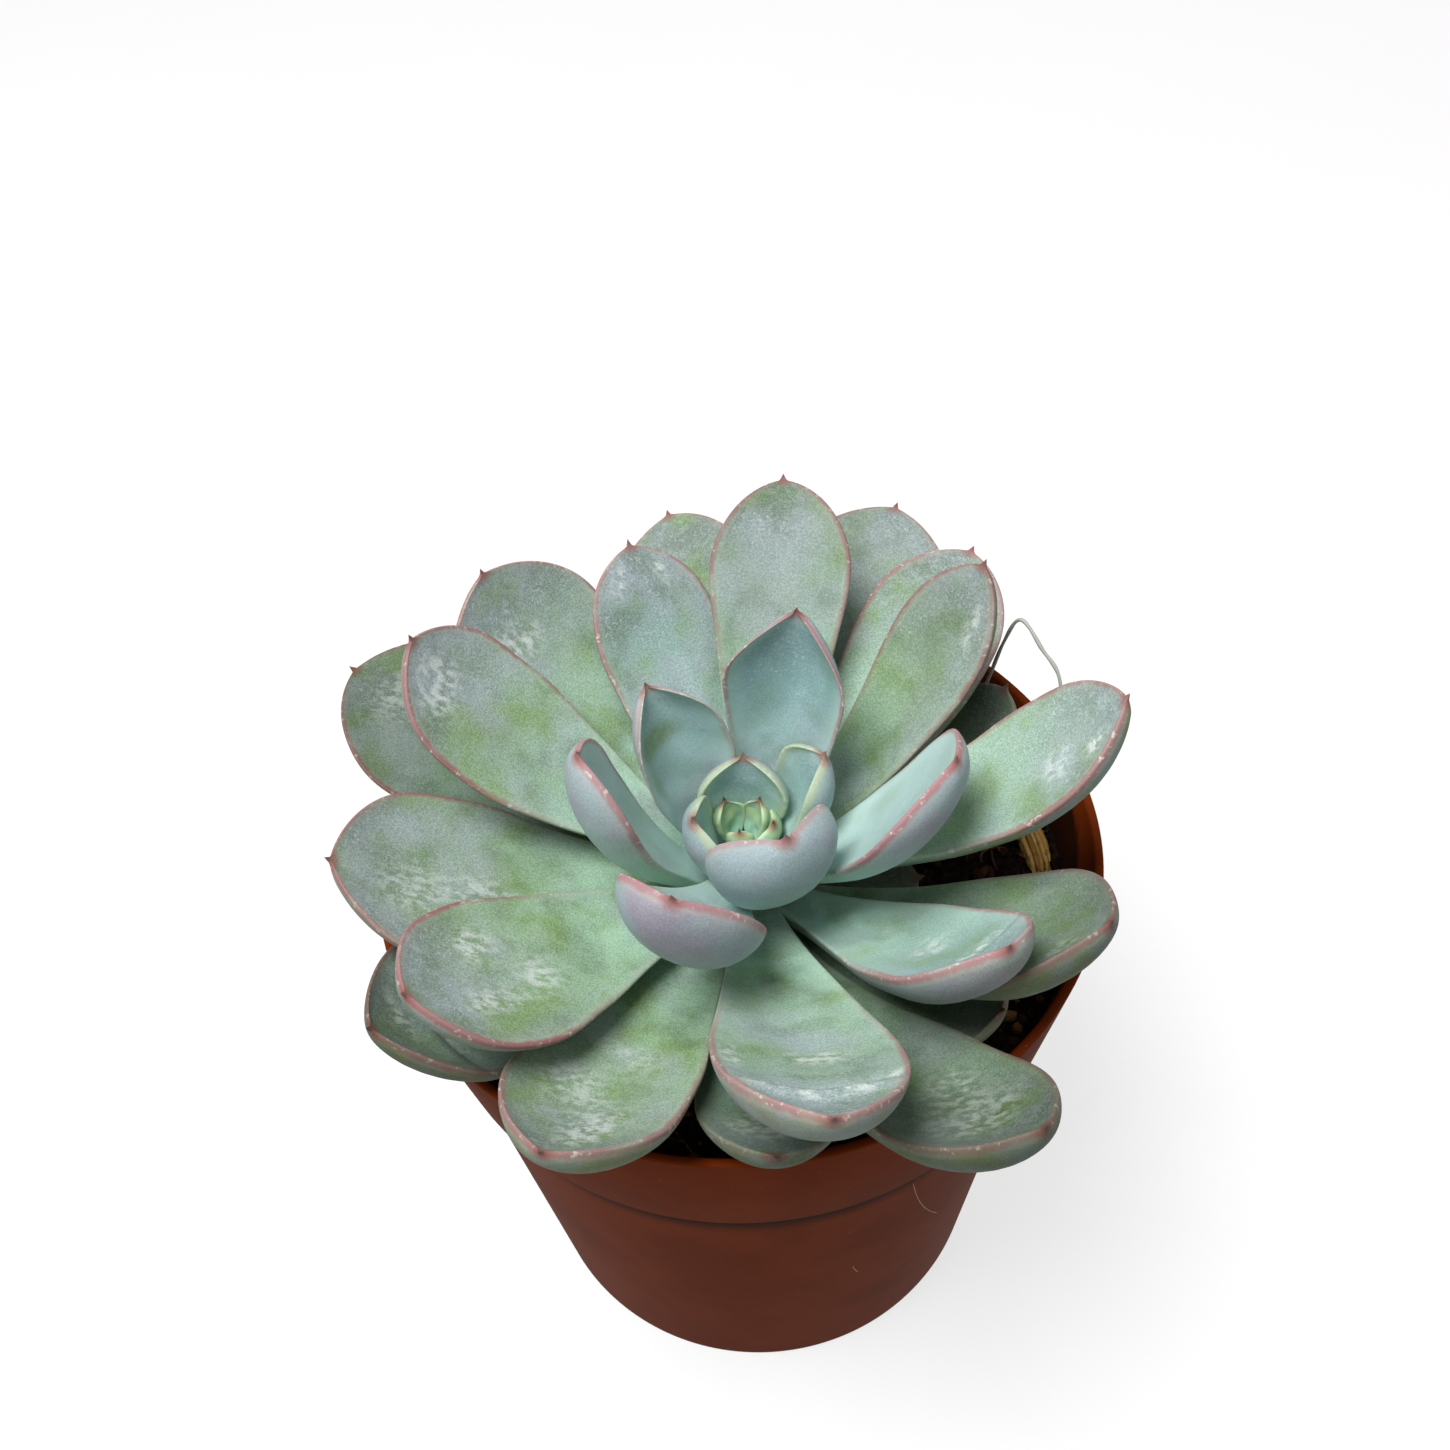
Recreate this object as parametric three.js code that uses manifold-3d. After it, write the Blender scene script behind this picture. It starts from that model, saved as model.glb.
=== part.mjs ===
// Potted Echeveria pulidonis: a rosette of thick spoon-shaped leaves on a short
// stem, growing in a round plastic nursery pot filled with peat.
// Millimetres, +Z up. The origin is the middle of the pot's flat underside, and
// +Y points away from the side that the plant is seen from.
import * as THREE from "three";
import { mergeVertices } from "three/addons/utils/BufferGeometryUtils.js";
import Module from "manifold-3d";

const wasm = await Module();
wasm.setup();

// Driving dimensions of the pot: a 10.5 cm nursery pot.
const POT_HEIGHT = 94;
const RIM_RADIUS = 52.5;
const FOOT_RADIUS = 38.8;
const COLLAR_HEIGHT = 24.5;
const COLLAR_FOOT_RADIUS = 48.2;
const COLLAR_STEP = 1.2;
const WALL = 1.3;
const FLOOR = 2;
const DRAIN_COUNT = 8;
const DRAIN_RADIUS = 3.5;
const DRAIN_RING_RADIUS = 27;
const POT_SIDES = 64;

// Driving dimensions of the soil.
const SOIL_LEVEL = 83;
const SOIL_SIDES = 44;
const SOIL_RINGS = 9;

// The rosette stands a little forward of the pot's middle.
const STEM_X = 0.5;
const STEM_Y = -10;
const STEM_FOOT = 62;
const STEM_TOP = 101.5;
const STEM_RADIUS = 5.6;

// Touching pieces stay this far apart.
const GAP = 0.3;

// How every leaf is formed, as shares of its own length, width and thickness:
// narrow at its root, widest and thickest past its middle, with a short point.
const ROOT_WIDTH = 0.3;
const WIDEST_AT = 0.74;
const WIDTH_SWELL = 1.8;
const TIP_ROUND = 2.2;
const TIP_SHARP = 0.62;
const ROOT_THICKNESS = 0.55;
const THICKEST_AT = 0.6;
const END_ROUND = 2.6;
const END_FULL = 0.6;
const BACK_ROUND = 2.2;
const BACK_FULL = 0.75;
const CURL_FROM = 0.6;
const CUP_AT_ROOT = 0.5;
const CUP_AT_TIP = 1.2;
const POINT_LENGTH = 1.2;

const materials = {
  pot: new THREE.MeshStandardMaterial({ color: 0x8f4433, roughness: 0.5, metalness: 0 }),
  soil: new THREE.MeshStandardMaterial({ color: 0x1e1612, roughness: 0.95, metalness: 0 }),
  bark: new THREE.MeshStandardMaterial({ color: 0xa98a5b, roughness: 0.9, metalness: 0 }),
  stem: new THREE.MeshStandardMaterial({ color: 0x6f7f56, roughness: 0.7, metalness: 0 }),
  leaf: new THREE.MeshStandardMaterial({ color: 0x7fa38c, roughness: 0.6, metalness: 0 }),
  youngLeaf: new THREE.MeshStandardMaterial({ color: 0x9cc4b4, roughness: 0.6, metalness: 0 }),
};

// A closed geometry as a solid that can be cut and joined: only positions are
// kept, equal ones are merged, and triangles that fall together are dropped.
function toSolid(geometry) {
  const bare = new THREE.BufferGeometry();
  bare.setAttribute("position", geometry.getAttribute("position"));
  bare.setIndex(geometry.getIndex());
  const merged = mergeVertices(bare, 1e-4);
  const index = merged.getIndex().array;
  const kept = [];
  for (let i = 0; i < index.length; i += 3) {
    const [a, b, c] = [index[i], index[i + 1], index[i + 2]];
    if (a !== b && b !== c && c !== a) {
      kept.push(a, b, c);
    }
  }
  return new wasm.Manifold(new wasm.Mesh({
    numProp: 3,
    vertProperties: new Float32Array(merged.getAttribute("position").array),
    triVerts: new Uint32Array(kept),
  }));
}

// The largest body of a solid as a geometry: slivers that a cut left loose are dropped.
function toGeometry(solid) {
  const { vertProperties, triVerts } = solid.getMesh();
  const parent = Array.from({ length: vertProperties.length / 3 }, (_, i) => i);
  const find = (i) => {
    while (parent[i] !== i) {
      parent[i] = parent[parent[i]];
      i = parent[i];
    }
    return i;
  };
  for (let i = 0; i < triVerts.length; i += 3) {
    parent[find(triVerts[i])] = find(triVerts[i + 1]);
    parent[find(triVerts[i + 1])] = find(triVerts[i + 2]);
  }
  const bodies = new Map();
  for (let i = 0; i < triVerts.length; i += 3) {
    const root = find(triVerts[i]);
    if (!bodies.has(root)) {
      bodies.set(root, []);
    }
    bodies.get(root).push(triVerts[i], triVerts[i + 1], triVerts[i + 2]);
  }
  const largest = [...bodies.values()].sort((a, b) => b.length - a.length)[0];
  const geometry = new THREE.BufferGeometry();
  geometry.setAttribute("position", new THREE.BufferAttribute(vertProperties, 3));
  geometry.setIndex(largest);
  const flat = geometry.toNonIndexed();
  flat.computeVertexNormals();
  return flat;
}

function addMesh(group, name, solid, material) {
  const mesh = new THREE.Mesh(toGeometry(solid), material);
  mesh.name = name;
  group.add(mesh);
}

// A profile of [radius, height] pairs turned round the vertical axis at x, y.
function turned(profile, sides, x = 0, y = 0) {
  const points = profile.map(([radius, height]) => new THREE.Vector2(radius, height));
  return new THREE.LatheGeometry(points, sides).rotateX(Math.PI / 2).translate(x, y, 0);
}

// Pot: the outside tapers up to a straighter, wider collar, and the thin wall
// follows it inside. The floor is flat, with a ring of round drainage holes.
const COLLAR_FOOT = POT_HEIGHT - COLLAR_HEIGHT;
const BODY_TOP_RADIUS = COLLAR_FOOT_RADIUS - COLLAR_STEP;
const EDGE = 0.6;

function potInnerRadius(height) {
  if (height > COLLAR_FOOT) {
    const up = (height - COLLAR_FOOT) / COLLAR_HEIGHT;
    return COLLAR_FOOT_RADIUS + (RIM_RADIUS - COLLAR_FOOT_RADIUS) * up - WALL;
  }
  return FOOT_RADIUS + (BODY_TOP_RADIUS - FOOT_RADIUS) * (height / COLLAR_FOOT) - WALL;
}

function potSolid() {
  const profile = [
    [0, 0],
    [FOOT_RADIUS - EDGE, 0],
    [FOOT_RADIUS, EDGE],
    [BODY_TOP_RADIUS, COLLAR_FOOT - EDGE],
    [COLLAR_FOOT_RADIUS, COLLAR_FOOT],
    [RIM_RADIUS, POT_HEIGHT - EDGE],
    [RIM_RADIUS - EDGE / 2, POT_HEIGHT],
    [RIM_RADIUS - WALL, POT_HEIGHT],
    [potInnerRadius(COLLAR_FOOT + EDGE), COLLAR_FOOT + EDGE],
    [potInnerRadius(COLLAR_FOOT - EDGE), COLLAR_FOOT - EDGE],
    [potInnerRadius(FLOOR), FLOOR],
    [0, FLOOR],
  ];
  let pot = toSolid(turned(profile, POT_SIDES));
  for (let i = 0; i < DRAIN_COUNT; i += 1) {
    const angle = ((i + 0.5) / DRAIN_COUNT) * 2 * Math.PI;
    const hole = new THREE.CylinderGeometry(DRAIN_RADIUS, DRAIN_RADIUS, 4 * FLOOR, 12);
    hole.rotateX(Math.PI / 2);
    hole.translate(DRAIN_RING_RADIUS * Math.cos(angle), DRAIN_RING_RADIUS * Math.sin(angle), FLOOR / 2);
    pot = pot.subtract(toSolid(hole));
  }
  return pot;
}

// Soil: fills the pot to below the rim. Its top rolls gently, from a few crossed
// waves, and banks up a little towards the stem.
const SOIL_WAVES = [
  { height: 0.7, across: 0.21, along: 0.13, shift: 0.4 },
  { height: 0.5, across: -0.17, along: 0.34, shift: 1.9 },
  { height: 0.3, across: 0.52, along: 0.41, shift: 3.1 },
];
const SOIL_MOUND = 2.5;
const SOIL_MOUND_SPREAD = 14;

function soilRelief(x, y) {
  let height = 0;
  for (const wave of SOIL_WAVES) {
    height += wave.height * Math.sin(wave.across * x + wave.along * y + wave.shift);
  }
  const away = Math.hypot(x - STEM_X, y - STEM_Y) / SOIL_MOUND_SPREAD;
  return height + SOIL_MOUND * Math.exp(-away * away);
}

function soilSolid(stem) {
  const wallAt = (height) => potInnerRadius(height) - GAP;
  const profile = [
    [0, FLOOR + GAP],
    [wallAt(FLOOR + GAP), FLOOR + GAP],
    [wallAt(COLLAR_FOOT - EDGE), COLLAR_FOOT - EDGE - GAP],
    [wallAt(COLLAR_FOOT + EDGE), COLLAR_FOOT + EDGE + GAP],
  ];
  for (let ring = SOIL_RINGS; ring >= 0; ring -= 1) {
    profile.push([(wallAt(SOIL_LEVEL - SOIL_MOUND) * ring) / SOIL_RINGS, SOIL_LEVEL]);
  }
  const soil = turned(profile, SOIL_SIDES);
  const position = soil.getAttribute("position");
  for (let i = 0; i < position.count; i += 1) {
    if (position.getZ(i) > SOIL_LEVEL - 0.5) {
      position.setZ(i, SOIL_LEVEL + soilRelief(position.getX(i), position.getY(i)));
    }
  }
  return toSolid(soil).subtract(stem);
}

// Stem: short and thick, rooted in the soil, with a domed growing tip.
function stemSolid(clear) {
  const profile = [
    [0, STEM_FOOT - clear],
    [STEM_RADIUS + 1 + clear, STEM_FOOT - clear],
    [STEM_RADIUS + clear, STEM_TOP - 6],
    [STEM_RADIUS - 1 + clear, STEM_TOP - 3],
    [STEM_RADIUS - 3 + clear, STEM_TOP - 0.8 + clear],
    [1, STEM_TOP + clear],
    [0, STEM_TOP + clear],
  ];
  return toSolid(turned(profile, 20, STEM_X, STEM_Y));
}

// Leaf: a thick spoon. Its midrib leaves the stem at the angle rise above level
// and bends up evenly by bend degrees along its length, while the last part curls
// by curl more; sway swings it sideways and roll turns it about itself. The upper
// face is hollow across by cup degrees on each side, and the back swells below it.
const LONG_GRID = {
  along: [0, 0.14, 0.28, 0.42, 0.55, 0.66, 0.76, 0.85, 0.92, 0.965, 0.992],
  across: [-1, -0.85, -0.45, 0, 0.45, 0.85, 1],
};
const SHORT_GRID = {
  along: [0, 0.25, 0.5, 0.7, 0.85, 0.94, 0.985],
  across: [-1, -0.7, 0, 0.7, 1],
};
const SHORT_LENGTH = 25;

const radians = THREE.MathUtils.degToRad;
const clamp01 = (value) => THREE.MathUtils.clamp(value, 0, 1);

function leafWidth(share) {
  if (share < WIDEST_AT) {
    const swell = Math.sin(((share / WIDEST_AT) * Math.PI) / 2) ** WIDTH_SWELL;
    return ROOT_WIDTH + (1 - ROOT_WIDTH) * swell;
  }
  const past = (share - WIDEST_AT) / (1 - WIDEST_AT);
  return (1 - past ** TIP_ROUND) ** TIP_SHARP;
}

function leafThickness(share) {
  const swell = Math.sin((clamp01(share / THICKEST_AT) * Math.PI) / 2);
  const past = clamp01((share - THICKEST_AT) / (1 - THICKEST_AT));
  return (ROOT_THICKNESS + (1 - ROOT_THICKNESS) * swell) * (1 - past ** END_ROUND) ** END_FULL;
}

// The directions of the midrib at a share of the leaf's length: along it, to its
// left, and out of its upper face.
function leafFrame(leaf, share) {
  const curled = clamp01((share - CURL_FROM) / (1 - CURL_FROM)) ** 2;
  const slope = radians(leaf.rise + leaf.bend * share + leaf.curl * curled);
  const turn = radians(leaf.turn + leaf.sway * share);
  const along = new THREE.Vector3(
    Math.cos(slope) * Math.cos(turn),
    Math.cos(slope) * Math.sin(turn),
    Math.sin(slope),
  );
  const left = new THREE.Vector3(-Math.sin(turn), Math.cos(turn), 0);
  const up = new THREE.Vector3().crossVectors(along, left);
  left.applyAxisAngle(along, radians(leaf.roll));
  up.applyAxisAngle(along, radians(leaf.roll));
  return { along, left, up };
}

// The leaf's closed skin, grown outwards by clear on every side.
function leafSolid(leaf, clear) {
  const grid = leaf.length < SHORT_LENGTH ? SHORT_GRID : LONG_GRID;
  const points = [];
  const middle = leaf.root.clone();
  let last = 0;
  for (const share of grid.along) {
    const step = leafFrame(leaf, (share + last) / 2).along.multiplyScalar((share - last) * leaf.length);
    middle.add(step);
    last = share;
    const { along, left, up } = leafFrame(leaf, share);
    const halfWidth = (leaf.width / 2) * leafWidth(share);
    const bow = radians(leaf.cup) * (CUP_AT_ROOT + (CUP_AT_TIP - CUP_AT_ROOT) * share);
    const back = share === 0 ? -clear : 0;
    const face = [];
    const underside = [];
    for (const across of grid.across) {
      const side = Math.sin(bow * across);
      const lift = 1 - Math.cos(bow * across);
      const normal = up.clone().multiplyScalar(1 - lift).addScaledVector(left, -side);
      const outward = left.clone().multiplyScalar(1 - lift).addScaledVector(up, side);
      const point = middle.clone().addScaledVector(along, back);
      point.addScaledVector(left, (side / bow) * halfWidth);
      point.addScaledVector(up, (lift / bow) * halfWidth);
      if (Math.abs(across) === 1) {
        face.push(point.addScaledVector(outward, across * clear));
        continue;
      }
      const round = (1 - Math.abs(across) ** BACK_ROUND) ** BACK_FULL;
      const thick = leaf.thick * leafThickness(share) * round;
      face.push(point.clone().addScaledVector(normal, clear));
      underside.push(point.addScaledVector(normal, -thick - clear));
    }
    points.push(...face, ...underside.reverse());
  }
  const end = leafFrame(leaf, 1).along.multiplyScalar((1 - last) * leaf.length + POINT_LENGTH + clear);
  points.push(middle.add(end));
  return skin(points, grid.along.length, 2 * grid.across.length - 2);
}

// Joins rings of points into a closed skin: a flat cap on the first ring, and one
// last point that closes the other end.
function skin(points, rings, size) {
  const index = [];
  for (let ring = 0; ring < rings - 1; ring += 1) {
    for (let i = 0; i < size; i += 1) {
      const a = ring * size + i;
      const b = ring * size + ((i + 1) % size);
      index.push(a, a + size, b, b, a + size, b + size);
    }
  }
  const half = size / 2;
  for (let i = 0; i < half; i += 1) {
    const opposite = (size - i) % size;
    if (i > 0) {
      index.push(i, i + 1, opposite);
    }
    if (i < half - 1) {
      index.push(i + 1, size - i - 1, opposite);
    }
  }
  const start = (rings - 1) * size;
  for (let i = 0; i < size; i += 1) {
    index.push(start + i, points.length - 1, start + ((i + 1) % size));
  }
  const geometry = new THREE.BufferGeometry().setFromPoints(points);
  geometry.setIndex(index);
  return toSolid(geometry);
}

// The leaves in the order they grew, youngest first. Each one grew a golden angle
// round from the one before it, lower on the stem; stray is how far it was pushed
// off that place. Angles are in degrees and lengths in millimetres; seat lifts the
// root. Two old leaves, 29 and 31, have dropped off.
const GOLDEN_ANGLE = 137.5;
const FIRST_TURN = 73;
const FIRST_HEIGHT = 102.6;
const HEIGHT_PER_LEAF = 0.4;
const ROOT_RADIUS = 5;
const YOUNG_ROOT_RADIUS = 2;
const ROOT_RADIUS_PER_LEAF = 0.35;
const THICKNESS = 5.6;
const FULL_LENGTH = 50;
const THICKNESS_GROWTH = 0.55;

const LEAVES = [
  {
    order: 1, stray: 3, length: 18, width: 13, cup: 53,
    rise: 85, bend: 4, curl: -15, sway: 2, roll: 7, seat: -3,
  },
  {
    order: 2, stray: -8, length: 30, width: 19.5, cup: 65,
    rise: 38, bend: 35, curl: 12, sway: -4, roll: 7,
  },
  {
    order: 3, stray: 58, length: 15.5, width: 11, cup: 43,
    rise: 74, bend: 3, curl: -10, roll: -27, seat: -1.5,
  },
  {
    order: 4, stray: -18, length: 20.5, width: 12, cup: 57,
    rise: 61, bend: 17, curl: -15, sway: 3, roll: 7,
  },
  {
    order: 5, stray: 10, length: 45, width: 18.5, cup: 29,
    rise: 29, bend: 40, curl: 2, sway: 7, roll: -14, seat: 0.5,
  },
  {
    order: 6, stray: 42, length: 30, width: 17, cup: 75,
    rise: 75, bend: -5, sway: -6, roll: -22, seat: -1,
  },
  {
    order: 7, stray: 7, length: 40, width: 21, cup: 15,
    rise: 38, bend: 29, sway: -4, roll: -3, seat: 1.5,
  },
  {
    order: 8, stray: 8, length: 36, width: 15, cup: 30,
    rise: 47, bend: 38, curl: -11, sway: 4, roll: -6,
  },
  {
    order: 9, stray: 1, length: 36.5, width: 19.5, cup: 64,
    rise: 61, bend: 23, curl: 3, sway: 3, roll: 13, seat: 0.5,
  },
  {
    order: 10, stray: 2, length: 65, width: 21.5, cup: 21,
    rise: 19, bend: 26, curl: 7, sway: -2, roll: -9,
  },
  {
    order: 11, stray: 23, length: 51.5, width: 21, cup: 5,
    rise: 28, bend: 24, curl: 16, sway: 2, roll: -7, seat: 1.5,
  },
  {
    order: 12, stray: -8, length: 55.5, width: 18.5, cup: 14,
    rise: 22, bend: 33, curl: 6, sway: -2, roll: 4, seat: 2.5,
  },
  {
    order: 13, stray: -4, length: 54.5, width: 22, cup: 10,
    rise: 16, bend: 23, curl: 10, sway: 8, roll: -15, seat: 2,
  },
  {
    order: 14, stray: -12, length: 53.5, width: 20, cup: 15,
    rise: 36, bend: -3, curl: -10, sway: 11, seat: 1.5,
  },
  {
    order: 15, stray: 9, length: 49.5, width: 18, cup: 18,
    rise: 13, bend: 40, curl: 10, sway: -17, roll: -4, seat: 1,
  },
  {
    order: 16, stray: 18, length: 53, width: 26, cup: 12,
    rise: 12, bend: 24, curl: 6, sway: 4, roll: -7,
  },
  {
    order: 17, stray: -3, length: 51, width: 15.5, cup: 8,
    rise: 31, bend: 32, curl: -6, sway: 2, roll: 2, seat: 1,
  },
  {
    order: 18, stray: -14, length: 56.5, width: 22, cup: 24,
    rise: 8, bend: 24, curl: 19, sway: 7, roll: -3,
  },
  {
    order: 19, stray: -11, length: 46.5, width: 21, cup: 3,
    rise: 41, bend: 3, sway: 5, roll: 20, seat: 0.5,
  },
  {
    order: 20, stray: -12, length: 53, width: 23, cup: 20,
    rise: 6, bend: 40, curl: 12, sway: -5, roll: -6, seat: 1,
  },
  {
    order: 21, stray: 3, length: 53.5, width: 24.5, cup: 23,
    rise: 5, bend: 21, curl: 23, sway: 12, roll: -4, seat: -2.5,
  },
  {
    order: 22, stray: -24, length: 56, width: 20.5, cup: 17,
    rise: 20, bend: 12, curl: -12, sway: 15, roll: 10, seat: 0.5,
  },
  {
    order: 23, stray: 1, length: 65, width: 20.5, cup: 21,
    rise: 9, bend: 27, curl: 24, sway: 22, roll: -9,
  },
  {
    order: 24, stray: -18, length: 55, width: 29, cup: 6,
    rise: 25, bend: 29, curl: 14, sway: 11,
  },
  {
    order: 25, stray: 9, length: 43.5, width: 21, cup: 5,
    rise: 13, bend: 17, curl: 21, sway: 13, roll: -15, seat: -0.5,
  },
  {
    order: 26, stray: 36, length: 46.5, width: 18, cup: 5,
    rise: 3, bend: 34, curl: 4, roll: -7, seat: -2,
  },
  {
    order: 27, stray: -1, length: 57, width: 23, cup: 5,
    rise: 25, bend: 5, curl: -15, sway: 2, roll: -21, seat: 0.5,
  },
  {
    order: 28, stray: -2, length: 38.5, width: 18, cup: 5,
    rise: 4, bend: 17, curl: 26, roll: 11, seat: -0.5,
  },
  {
    order: 30, stray: 20, length: 64, width: 27, cup: 11,
    rise: 15, bend: 18, curl: -10, sway: -3, roll: 5, seat: -1.5,
  },
  {
    order: 32, stray: 18, length: 63.5, width: 30, cup: 14,
    rise: 15, bend: 8, curl: -9,
  },
  {
    order: 33, stray: 15, length: 20.5, width: 10, cup: 12,
    rise: 4, bend: 2, curl: -15, sway: -3, roll: -2, seat: -0.5,
  },
];

// Heart: the tuft of leaves a few millimetres long at the growing tip.
const HEART_LEAVES = [
  { turn: 127, rise: 74, bend: 4, length: 8, width: 5, cup: 60, out: 1.2, thick: 1.8 },
  { turn: -25, rise: 64, bend: 8, length: 8.5, width: 7, cup: 40, out: 1.4, thick: 1.8 },
  { turn: 40, rise: 70, bend: 6, length: 8, width: 4.5, cup: 55, out: 1.2, thick: 1.6 },
  { turn: 262, rise: 80, bend: 4, length: 6, width: 3.6, cup: 50, out: 0.6, thick: 1.4 },
];
const HEART_HEIGHT = 102.6;
const HEART_CORE_RADIUS = 2.4;
const HEART_CORE_RAISE = 0.8;

function grown(leaf) {
  const turn = FIRST_TURN - GOLDEN_ANGLE * (leaf.order - 1) + leaf.stray;
  const out = Math.min(ROOT_RADIUS, YOUNG_ROOT_RADIUS + ROOT_RADIUS_PER_LEAF * leaf.order);
  const height = FIRST_HEIGHT - HEIGHT_PER_LEAF * (leaf.order - 1) + (leaf.seat ?? 0);
  const thick = THICKNESS * Math.min(1, leaf.length / FULL_LENGTH) ** THICKNESS_GROWTH;
  return { curl: 0, sway: 0, roll: 0, ...leaf, turn, thick, root: rootPoint(turn, out, height) };
}

function rootPoint(turn, out, height) {
  const angle = radians(turn);
  return new THREE.Vector3(STEM_X + out * Math.cos(angle), STEM_Y + out * Math.sin(angle), height);
}

function heartSolid(clear) {
  const core = new THREE.SphereGeometry(HEART_CORE_RADIUS + clear, 12, 6);
  core.translate(STEM_X, STEM_Y, HEART_HEIGHT + HEART_CORE_RAISE);
  let heart = toSolid(core);
  for (const leaf of HEART_LEAVES) {
    const root = rootPoint(leaf.turn, leaf.out, HEART_HEIGHT);
    heart = heart.add(leafSolid({ curl: 0, sway: 0, roll: 0, ...leaf, root }, clear));
  }
  return heart;
}

// Bark chip: a bent splinter, half sunk in the soil by the wall on the right.
const BARK_LENGTH = 12;
const BARK_WIDTH = 4;
const BARK_THICKNESS = 2.2;
const BARK_X = 44.6;
const BARK_Y = 2.5;
const BARK_TURN = 98;
const BARK_BOW = 0.012;

function barkSolid(clear) {
  const chip = new THREE.BoxGeometry(
    BARK_LENGTH + 2 * clear,
    BARK_WIDTH + 2 * clear,
    BARK_THICKNESS + 2 * clear,
    8,
    2,
    1,
  );
  const position = chip.getAttribute("position");
  for (let i = 0; i < position.count; i += 1) {
    const x = position.getX(i);
    const taper = 1 - 0.35 * Math.abs(x / BARK_LENGTH);
    position.setY(i, position.getY(i) * taper + BARK_BOW * x * x);
    position.setZ(i, position.getZ(i) - BARK_BOW * x * x);
  }
  chip.rotateZ(radians(BARK_TURN));
  chip.translate(BARK_X, BARK_Y, SOIL_LEVEL + BARK_THICKNESS / 2);
  return toSolid(chip);
}

// Assembly. The younger leaf keeps its form, and the older one below it gives way
// by the gap, as leaves that press on each other do.
const plant = new THREE.Group();

const stem = stemSolid(0);
const stemRoom = stemSolid(GAP);
const soil = soilSolid(stemRoom).subtract(barkSolid(GAP));
const heart = heartSolid(0).subtract(stemRoom);
addMesh(plant, "pot", potSolid(), materials.pot);
addMesh(plant, "soil", soil, materials.soil);
addMesh(plant, "bark_chip", barkSolid(0), materials.bark);
addMesh(plant, "stem", stem, materials.stem);
addMesh(plant, "heart", heart, materials.youngLeaf);

let taken = stemRoom.add(heartSolid(GAP));
for (const spec of LEAVES) {
  const leaf = grown(spec);
  const name = `leaf_${String(leaf.order).padStart(2, "0")}`;
  const material = leaf.order < 10 ? materials.youngLeaf : materials.leaf;
  addMesh(plant, name, leafSolid(leaf, 0).subtract(taken), material);
  taken = taken.add(leafSolid(leaf, GAP));
}

export default plant;
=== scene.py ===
import bpy
import numpy as np
from mathutils import Matrix, Vector


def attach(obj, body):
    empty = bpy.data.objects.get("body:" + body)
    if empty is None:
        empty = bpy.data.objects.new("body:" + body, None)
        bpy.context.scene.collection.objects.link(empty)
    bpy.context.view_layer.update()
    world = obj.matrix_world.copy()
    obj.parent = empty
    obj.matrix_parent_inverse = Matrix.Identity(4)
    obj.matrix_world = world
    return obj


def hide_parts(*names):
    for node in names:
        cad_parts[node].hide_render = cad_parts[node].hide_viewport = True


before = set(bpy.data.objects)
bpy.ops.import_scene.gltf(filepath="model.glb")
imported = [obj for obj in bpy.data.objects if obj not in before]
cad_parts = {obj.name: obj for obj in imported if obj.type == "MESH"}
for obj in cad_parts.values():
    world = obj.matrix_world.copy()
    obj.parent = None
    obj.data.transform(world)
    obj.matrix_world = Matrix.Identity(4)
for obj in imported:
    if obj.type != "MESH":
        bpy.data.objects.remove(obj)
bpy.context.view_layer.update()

# Camera: it looks down on the plant from the front, close by, and is turned a little about its own
# axis. Its place is in metres, its turns in degrees and its focal length in pixels of the picture's
# side; all of them were worked out from the ellipses of the pot's rim and foot.
VIEW_SIDE = 1450
VIEW_FOCAL = 1564
CAMERA_PLACE = (0, -0.1446, 0.2714)
CAMERA_TURNS = [("X", 90 - 50.81), ("Y", 0.174), ("X", 4.047), ("Z", -4.0)]

camera_data = bpy.data.cameras.new("camera")
camera_data.sensor_width = 36
camera_data.lens = VIEW_FOCAL / VIEW_SIDE * camera_data.sensor_width
camera_data.clip_start = 0.01
camera = bpy.data.objects.new("camera", camera_data)
camera.matrix_world = Matrix.Translation(CAMERA_PLACE)
for axis, degrees in CAMERA_TURNS:
    camera.matrix_world = camera.matrix_world @ Matrix.Rotation(np.radians(degrees), 4, axis)
bpy.context.scene.collection.objects.link(camera)
bpy.context.scene.camera = camera


# Pot: a thin-walled round nursery pot, injection moulded in terracotta-brown polypropylene, with
# a straighter collar round the top. Its foot, step and rim keep the small rounds of the mould.
MM = 0.001
POT_HEIGHT = 94
RIM_RADIUS = 52.5
FOOT_RADIUS = 38.8
COLLAR_HEIGHT = 24.5
COLLAR_FOOT_RADIUS = 48.2
COLLAR_STEP = 1.2
WALL = 1.3
FLOOR = 2
DRAIN_COUNT = 8
DRAIN_RADIUS = 3.5
DRAIN_RING_RADIUS = 27
FOOT_ROUND = 1.0
STEP_FALL = 0.6
STEP_ROUND = 0.4
RIM_ROUND = 0.55
INSIDE_STEP_ROUND = 1.0
INSIDE_FOOT_ROUND = 1.2
CENTRE_RADIUS = 0.5
POT_SIDES = 192
DRILL_SIDES = 40
COLLAR_FOOT = POT_HEIGHT - COLLAR_HEIGHT
BODY_TOP_RADIUS = COLLAR_FOOT_RADIUS - COLLAR_STEP
COLLAR_SLOPE = (RIM_RADIUS - COLLAR_FOOT_RADIUS) / COLLAR_HEIGHT


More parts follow.
